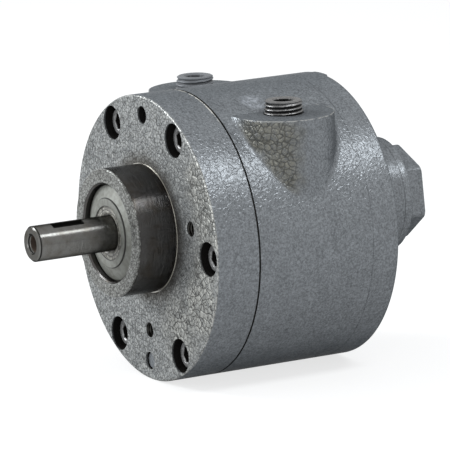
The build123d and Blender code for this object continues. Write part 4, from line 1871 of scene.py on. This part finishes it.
@dataclass
class Studio:
    """Camera, lights, floor and background.

    Attributes:
        azimuth: Camera's angle round the motor, from the front towards +X, in degrees.
        elevation: Its angle above the horizon.
        roll: Turn about its own axis.
        distance: From the target, in metres.
        target: Point on the camera's axis.
        lens: Focal length, in millimetres.
        sensor: Width of the frame that the focal length is for.
        clip: Nearest and farthest distance that the camera sees, in metres.
        floor_size: Side of the floor, in metres.
        floor_grey: The floor's colour.
        floor_glow: The floor's own light, as the camera sees it.
        ambient: Strength of the even light from all round.
        ambient_colour: Its colour.
        lamp_colour: Colour of the lamps.
        lamps: The lamps.
    """

    azimuth: float = 60.45
    elevation: float = 11.72
    roll: float = -1.78
    distance: float = 2.513
    target: Point = (0.0194, 0.0373, -0.0002)
    lens: float = 380.05
    sensor: float = 36.0
    clip: Pair = (0.05, 100.0)
    floor_size: float = 12.0
    floor_grey: float = 0.35
    floor_glow: float = 0.72
    ambient: float = 0.5
    ambient_colour: Colour = (0.96, 0.98, 1.0)
    lamp_colour: Colour = (0.95, 0.98, 1.0)
    lamps: tuple[Lamp, ...] = (
        Lamp("rear_softbox", (0.536, 0.25, 0.806), 1.5, (1.15, 0.33), 10.2),
        Lamp("front_softbox", (-0.60, -0.55, 0.45), 1.6, (0.6, 0.6), 17.5),
        Lamp("side_softbox", (0.75, -0.65, 0.35), 1.8, (1.0, 1.0), 4.0),
        Lamp("low_softbox", (-0.35, -0.90, 0.10), 1.8, (1.0, 1.0), 16.0),
    )

    def build(self) -> None:
        """Builds the whole studio.

        The camera comes first, then the world's light, the floor and the lamps.
        """
        self._camera()
        self._world()
        self._floor()
        for lamp in self.lamps:
            self._lamp(lamp)
        LOG.info("studio ready")

    def _camera(self) -> None:
        """Camera at the photograph's angle.

        Its back axis comes from azimuth and elevation, and the roll then turns the other two.
        """
        a, e, c = (math.radians(v) for v in (self.azimuth, self.elevation, self.roll))
        back = Vector((math.sin(a) * math.cos(e), -math.cos(a) * math.cos(e), math.sin(e)))
        right = Vector((math.cos(a), math.sin(a), 0.0))
        up = back.cross(right)
        side = math.cos(c) * right + math.sin(c) * up
        top = math.cos(c) * up - math.sin(c) * right
        data = bpy.data.cameras.new("camera")
        data.lens = self.lens
        data.sensor_width = self.sensor
        data.clip_start, data.clip_end = self.clip
        camera = bpy.data.objects.new("camera", data)
        turn = Matrix((side, top, back)).transposed().to_4x4()
        camera.matrix_world = Matrix.Translation(Vector(self.target) + back * self.distance) @ turn
        bpy.context.scene.collection.objects.link(camera)
        bpy.context.scene.camera = camera

    def _world(self) -> None:
        """Plain grey light, seen as white by the camera and in reflections.

        A ray's kind chooses between a plain background of each strength.
        """
        world = bpy.data.worlds.new("studio_world")
        world.use_nodes = True
        tree = world.node_tree
        tree.nodes.clear()
        seen = self._seen(tree)
        plain, white, blend = (tree.nodes.new(kind) for kind in (
            "ShaderNodeBackground", "ShaderNodeBackground", "ShaderNodeMixShader"))
        plain.inputs["Strength"].default_value = self.ambient
        plain.inputs["Color"].default_value = (*self.ambient_colour, 1.0)
        white.inputs["Color"].default_value = grey(1.0)
        tree.links.new(seen, blend.inputs["Fac"])
        tree.links.new(plain.outputs[0], blend.inputs[1])
        tree.links.new(white.outputs[0], blend.inputs[2])
        output = tree.nodes.new("ShaderNodeOutputWorld")
        tree.links.new(blend.outputs[0], output.inputs["Surface"])
        bpy.context.scene.world = world
        bpy.context.scene.view_settings.view_transform = "Standard"

    @staticmethod
    def _seen(tree: bpy.types.NodeTree) -> Socket:
        """1 for a ray from the camera, a reflection or a refraction, and 0 for a lighting ray.

        Args:
            tree: Node tree to put it in.

        Returns:
            The mask.
        """
        path = tree.nodes.new("ShaderNodeLightPath")
        found = path.outputs["Is Camera Ray"]
        for kind in ("Is Glossy Ray", "Is Transmission Ray"):
            larger = tree.nodes.new("ShaderNodeMath")
            larger.operation = "MAXIMUM"
            tree.links.new(found, larger.inputs[0])
            tree.links.new(path.outputs[kind], larger.inputs[1])
            found = larger.outputs[0]
        return found

    def _floor(self) -> None:
        """Pale floor under the motor, whose own light keeps it near white and its shadow visible.

        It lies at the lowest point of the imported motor.
        """
        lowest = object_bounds()[0].z
        half = self.floor_size / 2
        mesh = bpy.data.meshes.new("floor")
        mesh.from_pydata([(-half, -half, lowest), (half, -half, lowest),
                          (half, half, lowest), (-half, half, lowest)], [], [(0, 1, 2, 3)])
        floor = bpy.data.objects.new("floor", mesh)
        material = bpy.data.materials.new("pale_floor")
        material.use_nodes = True
        tree = material.node_tree
        shader = tree.nodes["Principled BSDF"]
        shader.inputs["Base Color"].default_value = grey(self.floor_grey)
        shader.inputs["Roughness"].default_value = 1.0
        shader.inputs["Specular IOR Level"].default_value = 0.0
        shader.inputs["Emission Color"].default_value = grey(1.0)
        share = tree.nodes.new("ShaderNodeMath")
        share.operation = "MULTIPLY"
        share.inputs[1].default_value = self.floor_glow
        tree.links.new(self._seen(tree), share.inputs[0])
        tree.links.new(share.outputs[0], shader.inputs["Emission Strength"])
        mesh.materials.append(material)
        bpy.context.scene.collection.objects.link(floor)
        floor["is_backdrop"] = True

    def _lamp(self, lamp: Lamp) -> None:
        """Adds a lamp.

        Its first side lies as near to the shaft's direction as its aim allows.

        Args:
            lamp: The lamp's name, place, size and power.
        """
        data = bpy.data.lights.new(lamp.name, "AREA")
        data.shape = "RECTANGLE"
        data.size, data.size_y = lamp.sides
        data.energy = lamp.power
        data.color = self.lamp_colour
        holder = bpy.data.objects.new(lamp.name, data)
        aim = Vector(lamp.toward).normalized()
        shaft = Vector((0.0, 1.0, 0.0))
        along = (shaft - shaft.dot(aim) * aim).normalized()
        turn = Matrix((along, aim.cross(along), aim)).transposed().to_4x4()
        holder.matrix_world = Matrix.Translation(Vector(self.target) + aim * lamp.distance) @ turn
        bpy.context.scene.collection.objects.link(holder)


def corners(box: tuple[Vector, Vector]) -> list[list[float]]:
    """The lowest and highest corner of a box as plain lists."""
    return [list(corner) for corner in box]


def main() -> None:
    """Builds the motor's looks in order.
    """
    logging.basicConfig(level=logging.INFO, format="%(name)s: %(message)s")
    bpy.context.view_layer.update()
    Studio().build()
    finishes = Finishes()
    CadDress(finishes).dress()
    CapScrewSet("drive_end_screws", 4.0, Heading.FRONT, 28.9).build(finishes.screws)
    CapScrewSet("dead_end_screws", 109.8, Heading.REAR, 23.3).build(finishes.rear_screws)
    PortPlugs().build(finishes.plug)
    EndCap().build(finishes.cap)
    ShaftSeal().build(finishes.seal, finishes.rubber)
    MountingThreads().build(finishes.tap)


if __name__ == "__main__":
    main()
